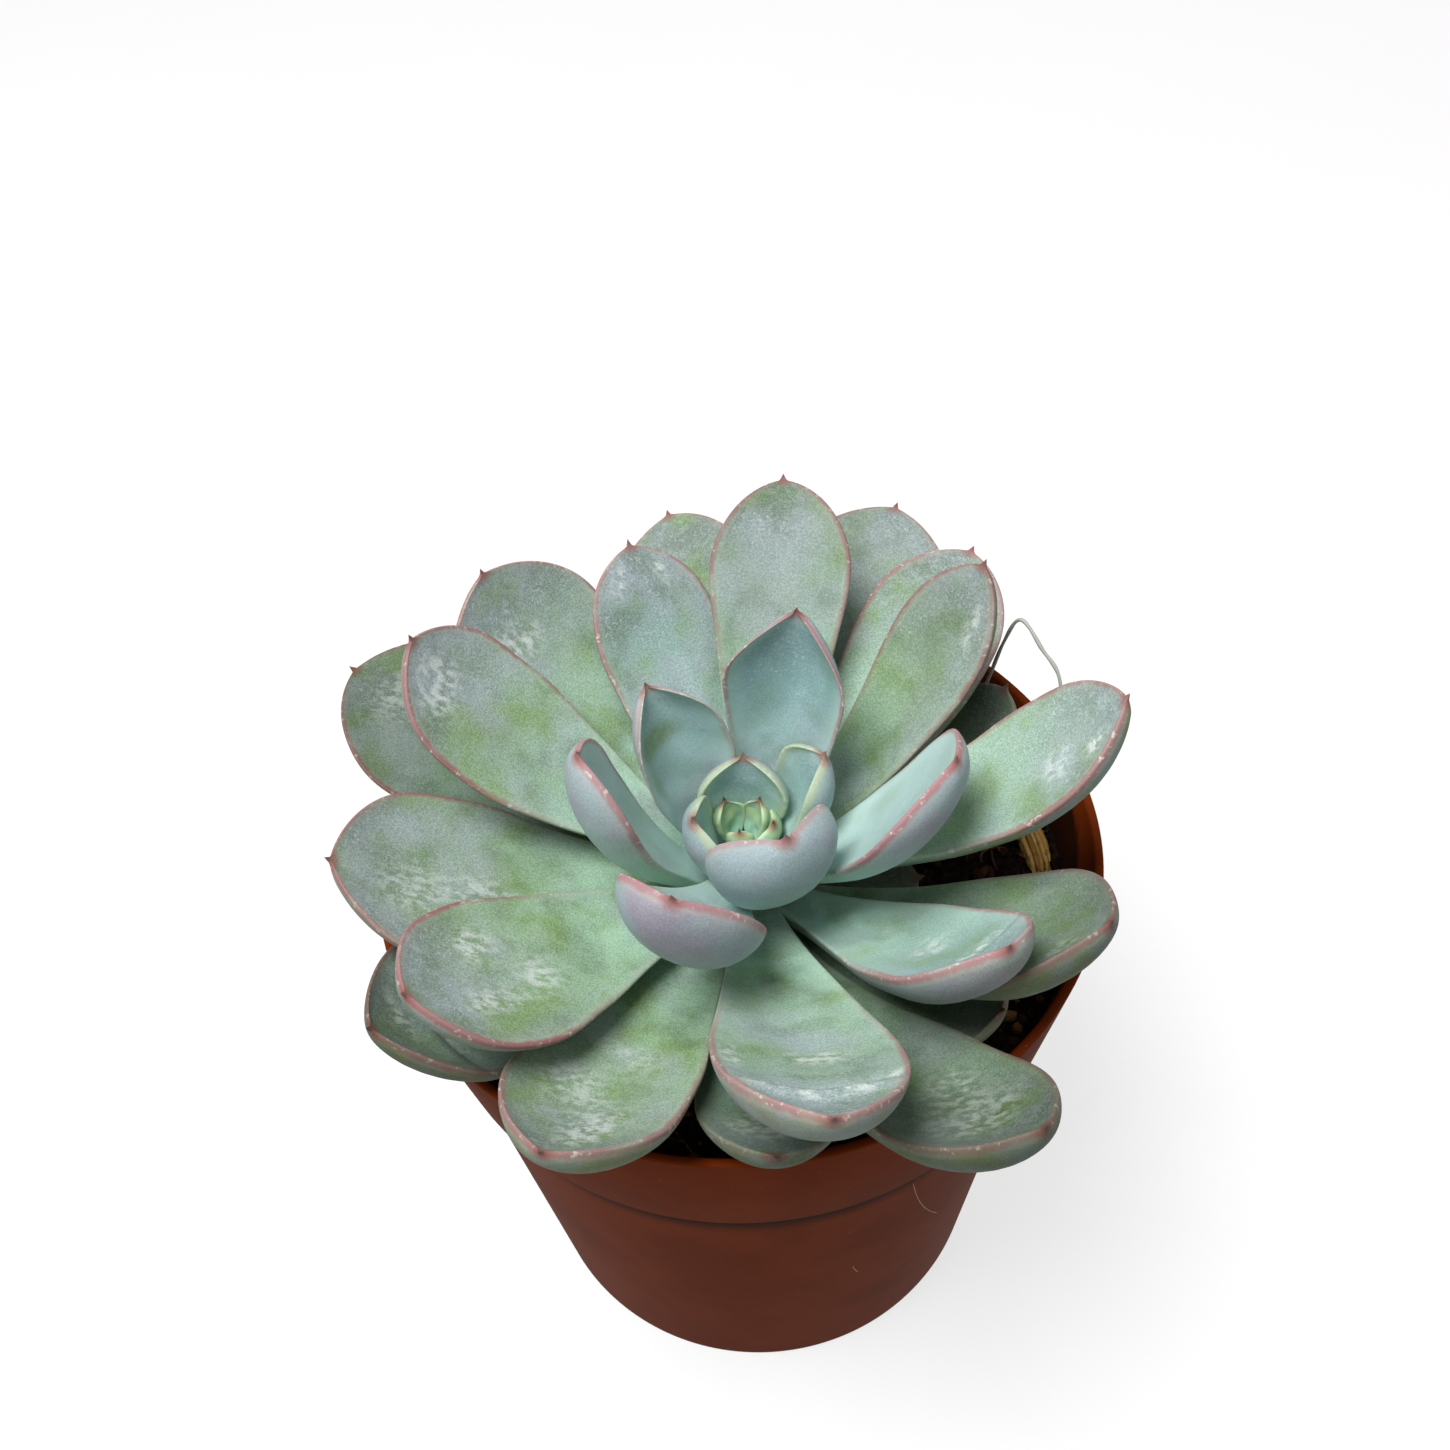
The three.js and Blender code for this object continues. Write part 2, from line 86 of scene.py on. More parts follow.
def mesh_piece(name, points, faces, materials):
    """An object at the origin from points in millimetres and a list or array of faces, shaded smooth."""
    mesh = bpy.data.meshes.new(name)
    mesh.from_pydata((np.asarray(points, float) * MM).tolist(), [], [list(map(int, f)) for f in faces])
    mesh.update()
    mesh.polygons.foreach_set("use_smooth", np.ones(len(mesh.polygons), bool))
    for material in materials:
        mesh.materials.append(material)
    piece = bpy.data.objects.new(name, mesh)
    bpy.context.scene.collection.objects.link(piece)
    return piece


def grid_faces(rings, size, start=0):
    """Four-sided faces between rings of points, each ring closed on itself."""
    ring, i = np.meshgrid(np.arange(rings - 1), np.arange(size), indexing="ij")
    low, next_low = ring * size + i, ring * size + (i + 1) % size
    return (np.stack([low, next_low, next_low + size, low + size], -1) + start).reshape(-1, 4)


def turned(profile, sides):
    """A profile of (radius, height) pairs carried round the upright axis, closed at both ends."""
    angle = np.arange(sides) / sides * 2 * np.pi
    radius, height = np.array(profile, float).T
    x, y = radius[:, None] * np.cos(angle), radius[:, None] * np.sin(angle)
    points = np.stack([x, y, np.broadcast_to(height[:, None], x.shape)], -1).reshape(-1, 3)
    last = (len(profile) - 1) * sides
    ends = [list(range(sides))[::-1], list(range(last, last + sides))]
    return points, [*grid_faces(len(profile), sides).tolist(), *ends]


def joined(shapes):
    """Several shapes' points and faces as one shape: each shape's faces count on from the last's."""
    points, faces = [], []
    start = 0
    for its_points, its_faces in shapes:
        points.append(its_points)
        faces += [[i + start for i in face] for face in its_faces]
        start += len(its_points)
    return np.concatenate(points), faces


def rounded(corner, before, after, radius, steps=5):
    """Points that round a profile's corner: a parabola from one side of it to the other."""
    corner, before, after = (np.array(p, float) for p in (corner, before, after))
    start = corner + (before - corner) / np.linalg.norm(before - corner) * radius
    end = corner + (after - corner) / np.linalg.norm(after - corner) * radius
    t = np.linspace(0, 1, steps)[:, None]
    return ((1 - t) ** 2 * start + 2 * t * (1 - t) * corner + t ** 2 * end).tolist()


def inner_radius(height):
    """Inside radius of the pot: two straight tapers that meet at the collar's foot."""
    body = FOOT_RADIUS + (BODY_TOP_RADIUS - FOOT_RADIUS) * height / COLLAR_FOOT
    collar = COLLAR_FOOT_RADIUS + (RIM_RADIUS - COLLAR_FOOT_RADIUS) * (height - COLLAR_FOOT) / COLLAR_HEIGHT
    return np.where(height > COLLAR_FOOT, collar, body) - WALL


def linear(hex_colour):
    """An sRGB hex value as linear red, green and blue, with alpha 1."""
    part = np.array([int(hex_colour[i:i + 2], 16) for i in (1, 3, 5)]) / 255
    return (*np.where(part <= 0.04045, part / 12.92, ((part + 0.055) / 1.055) ** 2.4), 1)


def add(material, kind, sockets=None, **settings):
    """Adds a node with its settings; each socket is given a value or another node's output."""
    new = material.node_tree.nodes.new("ShaderNode" + kind)
    for name, value in settings.items():
        setattr(new, name, value)
    for key, value in (sockets or {}).items():
        if isinstance(value, bpy.types.NodeSocket):
            material.node_tree.links.new(value, new.inputs[key])
        else:
            new.inputs[key].default_value = value
    return new


# Settings that many nodes share. A Mix of colours has them on sockets 6 and 7 and gives output 2; a
# MapRange takes a value on 0 from the range on 1 and 2 to the range on 3 and 4, or 0 to 1 if unset.
COLOUR = {"data_type": "RGBA"}
SMOOTH = {"interpolation_type": "SMOOTHSTEP"}
TIMES = {"operation": "MULTIPLY"}


def new_material(name):
    """A material with its surface shader, which is returned too, and its object coordinates."""
    material = bpy.data.materials.new(name)
    material.use_nodes = True
    shader = material.node_tree.nodes["Principled BSDF"]
    return material, shader, add(material, "TexCoord").outputs["Object"]


# Moulded polypropylene, dulled by use: light passes a little way into it. It has cloudy pigment, fine rub
# marks and dust that has dried on in specks, and its inside wall is darkened to near black below a ragged
# line near the rim.
polypropylene, shader, here = new_material("moulded terracotta polypropylene")
cloud = add(polypropylene, "MapRange", {
    0: add(polypropylene, "TexNoise", {"Vector": here, "Scale": 1 / (16 * MM), "Detail": 3}).outputs[0],
    1: 0.35, 2: 0.65,
}, **SMOOTH).outputs[0]
colour = add(polypropylene, "Mix", {
    0: cloud, 6: linear("#682a0d"), 7: linear("#723011"),
}, **COLOUR).outputs[2]
rub = add(polypropylene, "TexNoise", {
    "Vector": add(polypropylene, "Mapping", {"Vector": here, "Scale": (1, 1, 0.08)}).outputs[0],
    "Scale": 1 / (0.5 * MM), "Detail": 3,
}).outputs[0]
colour = add(polypropylene, "Mix", {
    0: add(polypropylene, "MapRange", {0: rub, 1: 0.6, 2: 0.8, 4: 0.2}, **SMOOTH).outputs[0],
    6: colour, 7: linear("#813f22"),
}, **COLOUR).outputs[2]
speck = add(polypropylene, "TexNoise", {"Vector": here, "Scale": 1 / (0.7 * MM), "Detail": 1}).outputs[0]
colour = add(polypropylene, "Mix", {
    0: add(polypropylene, "MapRange", {0: speck, 1: 0.74, 2: 0.8, 4: 0.3}, **SMOOTH).outputs[0],
    6: colour, 7: linear("#93714f"),
}, **COLOUR).outputs[2]
x, y, height = add(polypropylene, "SeparateXYZ", {0: here}).outputs
flat = add(polypropylene, "CombineXYZ", {0: x, 1: y}).outputs[0]
radius = add(polypropylene, "VectorMath", {0: flat}, operation="LENGTH").outputs["Value"]
# The inside wall is darkened to near black below a ragged line near the rim.
inner_foot = (COLLAR_FOOT_RADIUS - WALL - COLLAR_SLOPE * COLLAR_FOOT) * MM
off_wall = add(polypropylene, "Math", {
    0: radius,
    1: add(polypropylene, "Math", {0: height, 1: COLLAR_SLOPE}, **TIMES).outputs[0],
}, operation="SUBTRACT").outputs[0]
inside = add(polypropylene, "MapRange", {
    0: off_wall, 1: inner_foot + 0.6 * MM, 2: inner_foot + 0.3 * MM,
}, **SMOOTH).outputs[0]
ragged_line = add(polypropylene, "Math", {
    0: add(polypropylene, "TexNoise", {"Vector": here, "Scale": 1 / (9 * MM), "Detail": 4}).outputs[0],
    1: 14 * MM,
}, **TIMES).outputs[0]
darker_below = add(polypropylene, "MapRange", {
    0: add(polypropylene, "Math", {0: height, 1: ragged_line}, operation="ADD").outputs[0],
    1: 97.5 * MM, 2: 95 * MM, 4: 0.9,
}, **SMOOTH).outputs[0]
colour = add(polypropylene, "Mix", {
    0: add(polypropylene, "Math", {0: inside, 1: darker_below}, **TIMES).outputs[0],
    6: colour, 7: linear("#1c120c"),
}, **COLOUR).outputs[2]
polypropylene.node_tree.links.new(colour, shader.inputs["Base Color"])
shader.inputs["Roughness"].default_value = 0.42
shader.inputs["IOR"].default_value = 1.49
shader.inputs["Specular IOR Level"].default_value = 0.01
shader.inputs["Subsurface Weight"].default_value = 0.1
shader.inputs["Subsurface Radius"].default_value = (1.0, 0.22, 0.1)
shader.inputs["Subsurface Scale"].default_value = 0.002
wave = add(polypropylene, "Bump", {
    "Height": add(polypropylene, "TexNoise", {
        "Vector": here, "Scale": 1 / (5 * MM), "Detail": 2,
    }).outputs[0],
    "Strength": 0.25, "Distance": 0.2 * MM,
})
polypropylene.node_tree.links.new(wave.outputs[0], shader.inputs["Normal"])

foot_inside = (float(inner_radius(FLOOR)), FLOOR)
step_out = (COLLAR_FOOT_RADIUS, COLLAR_FOOT)
step_in = (BODY_TOP_RADIUS, COLLAR_FOOT - STEP_FALL)
rim_out, rim_in = (RIM_RADIUS, POT_HEIGHT), (RIM_RADIUS - WALL, POT_HEIGHT)
inside_step = (float(inner_radius(COLLAR_FOOT)), COLLAR_FOOT)
pot_profile = [
    (CENTRE_RADIUS, 0),
    *rounded((FOOT_RADIUS, 0), (0, 0), step_in, FOOT_ROUND),
    *rounded(step_in, (FOOT_RADIUS, 0), step_out, STEP_ROUND),
    *rounded(step_out, step_in, rim_out, STEP_ROUND),
    *rounded(rim_out, step_out, rim_in, RIM_ROUND),
    *rounded(rim_in, rim_out, inside_step, RIM_ROUND),
    *rounded(inside_step, rim_in, foot_inside, INSIDE_STEP_ROUND),
    *rounded(foot_inside, inside_step, (0, FLOOR), INSIDE_FOOT_ROUND),
    (CENTRE_RADIUS, FLOOR),
]
points, faces = turned(pot_profile, POT_SIDES)
pot = mesh_piece("pot_shell", points, faces, [polypropylene])

# The drainage holes are cut through the pot's floor.
drills = []
for i in range(DRAIN_COUNT):
    angle = (i + 0.5) / DRAIN_COUNT * 2 * np.pi
    drill, drill_faces = turned([(DRAIN_RADIUS, -FLOOR), (DRAIN_RADIUS, 2 * FLOOR)], DRILL_SIDES)
    drill += (DRAIN_RING_RADIUS * np.cos(angle), DRAIN_RING_RADIUS * np.sin(angle), 0)
    drills.append((drill, drill_faces))
drill_bit = mesh_piece("drills", *joined(drills), [])
cut = pot.modifiers.new("drainage", "BOOLEAN")
cut.operation, cut.solver, cut.object = "DIFFERENCE", "EXACT", drill_bit
bpy.context.view_layer.update()
drilled = bpy.data.meshes.new_from_object(pot.evaluated_get(bpy.context.evaluated_depsgraph_get()))
pot.modifiers.clear()
pot.data = drilled
pot.data.name = "pot_shell"
pot.data.set_sharp_from_angle(angle=np.radians(50))
bpy.data.objects.remove(drill_bit)
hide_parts("pot")
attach(pot, "root")


# Soil: damp dark peat that fills the pot to a little below the rim. Its top is one rough surface,
# with loose crumbs of peat and bark and short fibres pressed into it.
SOIL_LEVEL = 83
SOIL_CLEAR = 0.3
SOIL_WAVES = [(0.7, 0.21, 0.13, 0.4), (0.5, -0.17, 0.34, 1.9), (0.3, 0.52, 0.41, 3.1)]
SOIL_MOUND = 2.5
SOIL_MOUND_SPREAD = 14
STEM_X = 0.5
STEM_Y = -10
SOIL_ROUGHNESS = 0.8
CLODS_AND_GRIT = [(0.7, 5, 24), (0.45, 1.8, 40)]
SOIL_EDGE_DROP = 2
SOIL_SIDE_HEIGHTS = [SOIL_LEVEL - 4, COLLAR_FOOT + 0.8, COLLAR_FOOT - 0.8, 30, FLOOR + SOIL_CLEAR]
SOIL_CENTRE_RADIUS = 0.2
SOIL_RINGS, SOIL_SIDES = 86, 240
CRUMB_COUNT = 1500
CRUMB_LEAST_SIZE = 0.35
CRUMB_SIZE_RANGE = 0.9
CRUMB_RISE = 0.35
FIBRE_COUNT = 260
FIBRE_LENGTHS = (2, 8)
FIBRE_RADII = (0.1, 0.28)
FIBRE_RINGS, FIBRE_SIDES = 6, 3
chance = np.random.default_rng(11)


def soil_height(x, y):
    """Height of the soil: the level, plus three long crossed sine waves, plus a bell-shaped mound
    about the stem."""
    waves = sum(high * np.sin(a * x + b * y + c) for high, a, b, c in SOIL_WAVES)
    away = np.hypot(x - STEM_X, y - STEM_Y) / SOIL_MOUND_SPREAD
    return SOIL_LEVEL + waves + SOIL_MOUND * np.exp(-away ** 2)


def crossed_waves(x, y, size, count, chance):
    """Uneven ground: the sum of many sine waves, about as long as the size and in drawn directions,
    over the square root of their count."""
    turn, shift = chance.uniform(0, 2 * np.pi, (2, count))
    pitch = 2 * np.pi / (size * chance.uniform(0.6, 1.6, count))
    angle = x[..., None] * np.cos(turn) * pitch + y[..., None] * np.sin(turn) * pitch + shift
    return np.sin(angle).sum(-1) / np.sqrt(count)


peat, shader, here = new_material("damp peat with bark crumbs")
bit = add(peat, "Attribute", attribute_name="bit").outputs["Fac"]
lump = add(peat, "TexNoise", {"Vector": here, "Scale": 1 / (1.4 * MM), "Detail": 4}).outputs[0]
colour = add(peat, "Mix", {
    0: add(peat, "MapRange", {0: lump, 1: 0.4, 2: 0.68}, **SMOOTH).outputs[0],
    6: linear("#0f0b08"), 7: linear("#2b1f17"),
}, **COLOUR).outputs[2]
colour = add(peat, "Mix", {
    0: add(peat, "MapRange", {0: bit, 1: 0.1, 2: 0.45}, **SMOOTH).outputs[0],
    6: colour, 7: linear("#3a2418"),
}, **COLOUR).outputs[2]
colour = add(peat, "Mix", {
    0: add(peat, "MapRange", {0: bit, 1: 0.62, 2: 0.86}, **SMOOTH).outputs[0],
    6: colour, 7: linear("#7a4f30"),
}, **COLOUR).outputs[2]
colour = add(peat, "Mix", {
    0: add(peat, "MapRange", {0: bit, 1: 0.93, 2: 1.0}, **SMOOTH).outputs[0],
    6: colour, 7: linear("#b48c5a"),
}, **COLOUR).outputs[2]
colour = add(peat, "Mix", {
    0: add(peat, "MapRange", {
        0: add(peat, "TexNoise", {"Vector": here, "Scale": 1 / (0.4 * MM), "Detail": 2}).outputs[0],
        1: 0.45, 2: 0.75, 4: 0.5,
    }, **SMOOTH).outputs[0],
    6: colour, 7: linear("#120d09"),
}, **COLOUR).outputs[2]
peat.node_tree.links.new(colour, shader.inputs["Base Color"])
shader.inputs["Roughness"].default_value = 0.85
shader.inputs["IOR"].default_value = 1.4
shader.inputs["Specular IOR Level"].default_value = 0.1
crumbly = add(peat, "Bump", {
    "Height": add(peat, "TexNoise", {"Vector": here, "Scale": 1 / (0.8 * MM), "Detail": 4}).outputs[0],
    "Strength": 0.8, "Distance": 0.5 * MM,
})
peat.node_tree.links.new(crumbly.outputs[0], shader.inputs["Normal"])

wall = float(inner_radius(SOIL_LEVEL - SOIL_EDGE_DROP)) - SOIL_CLEAR
angle = np.arange(SOIL_SIDES) / SOIL_SIDES * 2 * np.pi
radius = np.linspace(SOIL_CENTRE_RADIUS, wall, SOIL_RINGS)[:, None]
x, y = radius * np.cos(angle), radius * np.sin(angle)
rough = sum(high * crossed_waves(x, y, size, count, chance) for high, size, count in CLODS_AND_GRIT)
top = np.stack([x, y, soil_height(x, y) + SOIL_ROUGHNESS * rough], -1)
side_rings = [(float(inner_radius(height)) - SOIL_CLEAR, height) for height in SOIL_SIDE_HEIGHTS]
below = []
for r, height in [*side_rings, (SOIL_CENTRE_RADIUS, FLOOR + SOIL_CLEAR)]:
    below.append(np.stack([r * np.cos(angle), r * np.sin(angle), np.full(SOIL_SIDES, height)], -1))
points = np.concatenate([top, np.array(below)]).reshape(-1, 3)
rings = SOIL_RINGS + len(below)
last = (rings - 1) * SOIL_SIDES
soil_faces = [list(range(SOIL_SIDES)), *grid_faces(rings, SOIL_SIDES)[:, ::-1].tolist(),
              list(range(last, last + SOIL_SIDES))[::-1]]
soil_points = [points]
bits = [np.zeros(len(points))]

# A crumb is a squashed, uneven twenty-sided lump; its place and size are drawn. The twelve corners
# are those of a regular one, about 1 from its middle.
golden = (1 + 5 ** 0.5) / 2
LUMP_POINTS = np.array([(-1, golden, 0), (1, golden, 0), (-1, -golden, 0), (1, -golden, 0),
                        (0, -1, golden), (0, 1, golden), (0, -1, -golden), (0, 1, -golden),
                        (golden, 0, -1), (golden, 0, 1), (-golden, 0, -1), (-golden, 0, 1)]) / 1.9
LUMP_FACES = np.array([(0, 11, 5), (0, 5, 1), (0, 1, 7), (0, 7, 10), (0, 10, 11),
                       (1, 5, 9), (5, 11, 4), (11, 10, 2), (10, 7, 6), (7, 1, 8),
                       (3, 9, 4), (3, 4, 2), (3, 2, 6), (3, 6, 8), (3, 8, 9),
                       (4, 9, 5), (2, 4, 11), (6, 2, 10), (8, 6, 7), (9, 8, 1)])
start = len(points)
away = (wall - 0.8) * np.sqrt(chance.uniform(0.02, 1, CRUMB_COUNT))
turn = chance.uniform(0, 2 * np.pi, CRUMB_COUNT)
crumb_x, crumb_y = away * np.cos(turn), away * np.sin(turn)
size = CRUMB_LEAST_SIZE + CRUMB_SIZE_RANGE * chance.uniform(0, 1, CRUMB_COUNT) ** 3
spin = chance.uniform(0, 2 * np.pi, CRUMB_COUNT)
for k in range(CRUMB_COUNT):
    uneven = chance.uniform(0.7, 1.3, (len(LUMP_POINTS), 1))
    crumb = LUMP_POINTS * uneven * size[k] * (chance.uniform(0.7, 1.8), 1, 0.6)
    c, s = np.cos(spin[k]), np.sin(spin[k])
    crumb = np.stack([crumb[:, 0] * c - crumb[:, 1] * s, crumb[:, 0] * s + crumb[:, 1] * c, crumb[:, 2]], -1)
    level = soil_height(crumb_x[k], crumb_y[k]) + CRUMB_RISE * size[k]
    crumb += (crumb_x[k], crumb_y[k], level)
    soil_points.append(crumb)
    soil_faces += (LUMP_FACES + start).tolist()
    bits.append(np.full(len(crumb), chance.uniform(0, 1) ** 1.5))
    start += len(crumb)


def rod_faces(rings, sides, start):
    """Faces of a rod made of rings of points, with one face that closes it at each end."""
    end = start + rings * sides
    ends = [list(range(start, start + sides)), list(range(end - 1, end - 1 - sides, -1))]
    return grid_faces(rings, sides, start)[:, ::-1].tolist() + ends


# A fibre is a thin three-sided stalk, lying down and bent at random.
away = (wall - 3) * np.sqrt(chance.uniform(0.02, 1, FIBRE_COUNT))
turn = chance.uniform(0, 2 * np.pi, FIBRE_COUNT)
for k in range(FIBRE_COUNT):
    length, heading = chance.uniform(*FIBRE_LENGTHS), chance.uniform(0, 2 * np.pi)
    t = np.linspace(-0.5, 0.5, FIBRE_RINGS)
    bend = chance.uniform(-1.2, 1.2)
    fx = away[k] * np.cos(turn[k]) + length * t * np.cos(heading + bend * t)
    fy = away[k] * np.sin(turn[k]) + length * t * np.sin(heading + bend * t)
    far = np.minimum(1, (wall - 0.5) / np.hypot(fx, fy))
    fx, fy = fx * far, fy * far
    fz = soil_height(fx, fy) + 0.5 + chance.uniform(0, 0.6)
    thick = chance.uniform(*FIBRE_RADII)
    corner = np.arange(FIBRE_SIDES) / FIBRE_SIDES * 2 * np.pi
    tube = np.stack([fx[:, None] + thick * np.cos(corner) * -np.sin(heading),
                     fy[:, None] + thick * np.cos(corner) * np.cos(heading),
                     fz[:, None] + thick * np.sin(corner)], -1).reshape(-1, 3)
    soil_points.append(tube)
    soil_faces += rod_faces(FIBRE_RINGS, FIBRE_SIDES, start)
    bits.append(np.full(len(tube), chance.uniform(0.55, 1.0)))
    start += len(tube)
soil = mesh_piece("peat", np.concatenate(soil_points), soil_faces, [peat])
soil.data.attributes.new("bit", "FLOAT", "POINT").data.foreach_set("value", np.concatenate(bits))
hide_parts("soil")
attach(soil, "root")


# Bark chip: a splinter of dry, straw-coloured bark by the wall on the right. It is a bundle of
# torn fibres, so it is ridged along its length and frayed at its ends.
BARK_LENGTH = 12
BARK_WIDTH = 4
BARK_THICKNESS = 2.2
BARK_X = 44.6
BARK_Y = 2.5
BARK_TURN = 98
BARK_BOW = 0.012
STRAND_COUNT = 46
STRAND_FLATNESS = 1.6
STRAND_RINGS, STRAND_SIDES = 8, 5

dry_bark, shader, here = new_material("dry fibrous bark")
strand = add(dry_bark, "Attribute", attribute_name="strand").outputs["Fac"]
colour = add(dry_bark, "Mix", {
    0: strand, 6: linear("#94692c"), 7: linear("#d6ab5c"),
}, **COLOUR).outputs[2]
patch = add(dry_bark, "MapRange", {
    0: add(dry_bark, "TexNoise", {"Vector": here, "Scale": 1 / (1.2 * MM), "Detail": 3}).outputs[0],
    1: 0.5, 2: 0.75, 4: 0.6,
}, **SMOOTH).outputs[0]
colour = add(dry_bark, "Mix", {0: patch, 6: colour, 7: linear("#4a3018")}, **COLOUR).outputs[2]
dry_bark.node_tree.links.new(colour, shader.inputs["Base Color"])
shader.inputs["Roughness"].default_value = 0.8
torn = add(dry_bark, "Bump", {
    "Height": add(dry_bark, "TexNoise", {
        "Vector": here, "Scale": 1 / (0.3 * MM), "Detail": 3,
    }).outputs[0],
    "Strength": 0.6, "Distance": 0.2 * MM,
})
dry_bark.node_tree.links.new(torn.outputs[0], shader.inputs["Normal"])

chance = np.random.default_rng(4)
bark_points, bark_faces, strands = [], [], []
turn = np.radians(BARK_TURN)
for k in range(STRAND_COUNT):
    length = BARK_LENGTH * chance.uniform(0.45, 1.0)
    shift = chance.uniform(-0.5, 0.5) * (BARK_LENGTH - length)
    t = np.linspace(-0.5, 0.5, STRAND_RINGS)
    side = chance.uniform(-0.5, 0.5) * BARK_WIDTH * 0.8
    level = chance.uniform(0.1, 0.9) * BARK_THICKNESS
    splay = 1 + 0.5 * np.abs(t) * chance.uniform(-1, 1)
    u = shift + length * t
    v = side * splay + BARK_BOW * u ** 2
    z = level * (1 + 0.2 * np.abs(t)) - BARK_BOW * u ** 2
    thick = chance.uniform(0.16, 0.34) * (1 - 0.8 * np.abs(2 * t) ** 4)
    corner = np.arange(STRAND_SIDES) / STRAND_SIDES * 2 * np.pi
    out, lift = thick[:, None] * np.cos(corner) * STRAND_FLATNESS, thick[:, None] * np.sin(corner)
    along, across = u[:, None] + 0 * corner, v[:, None] + out
    tube = np.stack([BARK_X + along * np.cos(turn) - across * np.sin(turn),
                     BARK_Y + along * np.sin(turn) + across * np.cos(turn),
                     SOIL_LEVEL + z[:, None] + lift], -1).reshape(-1, 3)
    bark_points.append(tube)
    bark_faces += rod_faces(STRAND_RINGS, STRAND_SIDES, k * len(tube))
    strands.append(np.full(len(tube), chance.uniform(0, 1)))
bark = mesh_piece("bark_splinter", np.concatenate(bark_points), bark_faces, [dry_bark])
bark.data.attributes.new("strand", "FLOAT", "POINT").data.foreach_set("value", np.concatenate(strands))
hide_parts("bark_chip")
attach(bark, "root")


# Stem: short, thick and fleshy, rooted in the peat and nearly hidden. Old leaf scars leave it
# corky in bands. It keeps the CAD solid.
stem_skin, shader, here = new_material("green stem with corky leaf scars")
band = add(stem_skin, "TexNoise", {
    "Vector": add(stem_skin, "Mapping", {"Vector": here, "Scale": (0.5, 0.5, 1.6)}).outputs[0],
    "Scale": 1 / (3.0 * MM), "Detail": 3,
}).outputs[0]
colour = add(stem_skin, "Mix", {
    0: add(stem_skin, "MapRange", {0: band, 1: 0.42, 2: 0.62}, **SMOOTH).outputs[0],
    6: linear("#7d8a5c"), 7: linear("#a08a68"),
}, **COLOUR).outputs[2]
stem_skin.node_tree.links.new(colour, shader.inputs["Base Color"])
shader.inputs["Roughness"].default_value = 0.7
corky = add(stem_skin, "Bump", {"Height": band, "Strength": 0.7, "Distance": 0.4 * MM})
stem_skin.node_tree.links.new(corky.outputs[0], shader.inputs["Normal"])
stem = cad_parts["stem"]
stem.data.materials.clear()
stem.data.materials.append(stem_skin)


# Leaves: thick spoons of watery flesh under a powdery wax bloom. Each grew a golden angle round from
# the one before it, lower on the stem, and strays some way off that place; seat lifts its root. Sizes
# are in millimetres and angles in degrees. The rows were fitted to the leaves' outlines and rounded.
GOLDEN_ANGLE = 137.5
FIRST_TURN = 73
FIRST_HEIGHT = 102.6
HEIGHT_PER_LEAF = 0.4
ROOT_RADIUS = 5
YOUNG_ROOT_RADIUS = 2
ROOT_RADIUS_PER_LEAF = 0.35
THICKNESS = 5.6
FULL_LENGTH = 50
THICKNESS_GROWTH = 0.55
ROOT_WIDTH = 0.3
WIDEST_AT = 0.74
WIDTH_SWELL = 1.8
TIP_ROUND = 2.2
TIP_SHARP = 0.68
TIP_SHARP_YOUNG = 0.8
ROOT_THICKNESS = 0.55
THICKEST_AT = 0.6
END_ROUND = 2.6
END_FULL = 0.6
BACK_ROUND = 2.2
BACK_FULL = 0.75
SLIM_BACK_FULL = 1.7
SLIM_THICKNESS = 0.5
SLIM_LEAVES = (6, 9)
CURL_FROM = 0.6
CUP_AT_ROOT = 0.5
CUP_AT_TIP = 1.2
POINT_LENGTH = 1.1
POINT_RADIUS = 1.0
POINT_RADIUS_SHARE = 0.13
EDGE_RADIUS = 0.32
EDGE_WAVE = 0.018
EDGE_WAVELET = 0.010
RIPPLES = [(0.20, 9, 2.2), (0.10, 21, -3.5), (0.08, 14, 6)]
BACK_RIPPLE = 0.12
CHANNEL_DEPTH = 0.25
CHANNEL_WIDTH = 0.2
FOLD_WIDTH = 0.018
FOLD_BOW = 0.015
RIDGE_HEIGHT = 0.9
RIDGE_PAST_FOLD = 0.035
RIDGE_WIDTH = 0.022
LEAF_RINGS = 76
LEAF_ACROSS = 27
RINGS_TO_TIP = 1.6
YOUNG_UP_TO = 9
FIRST_HEART_ORDER = 100

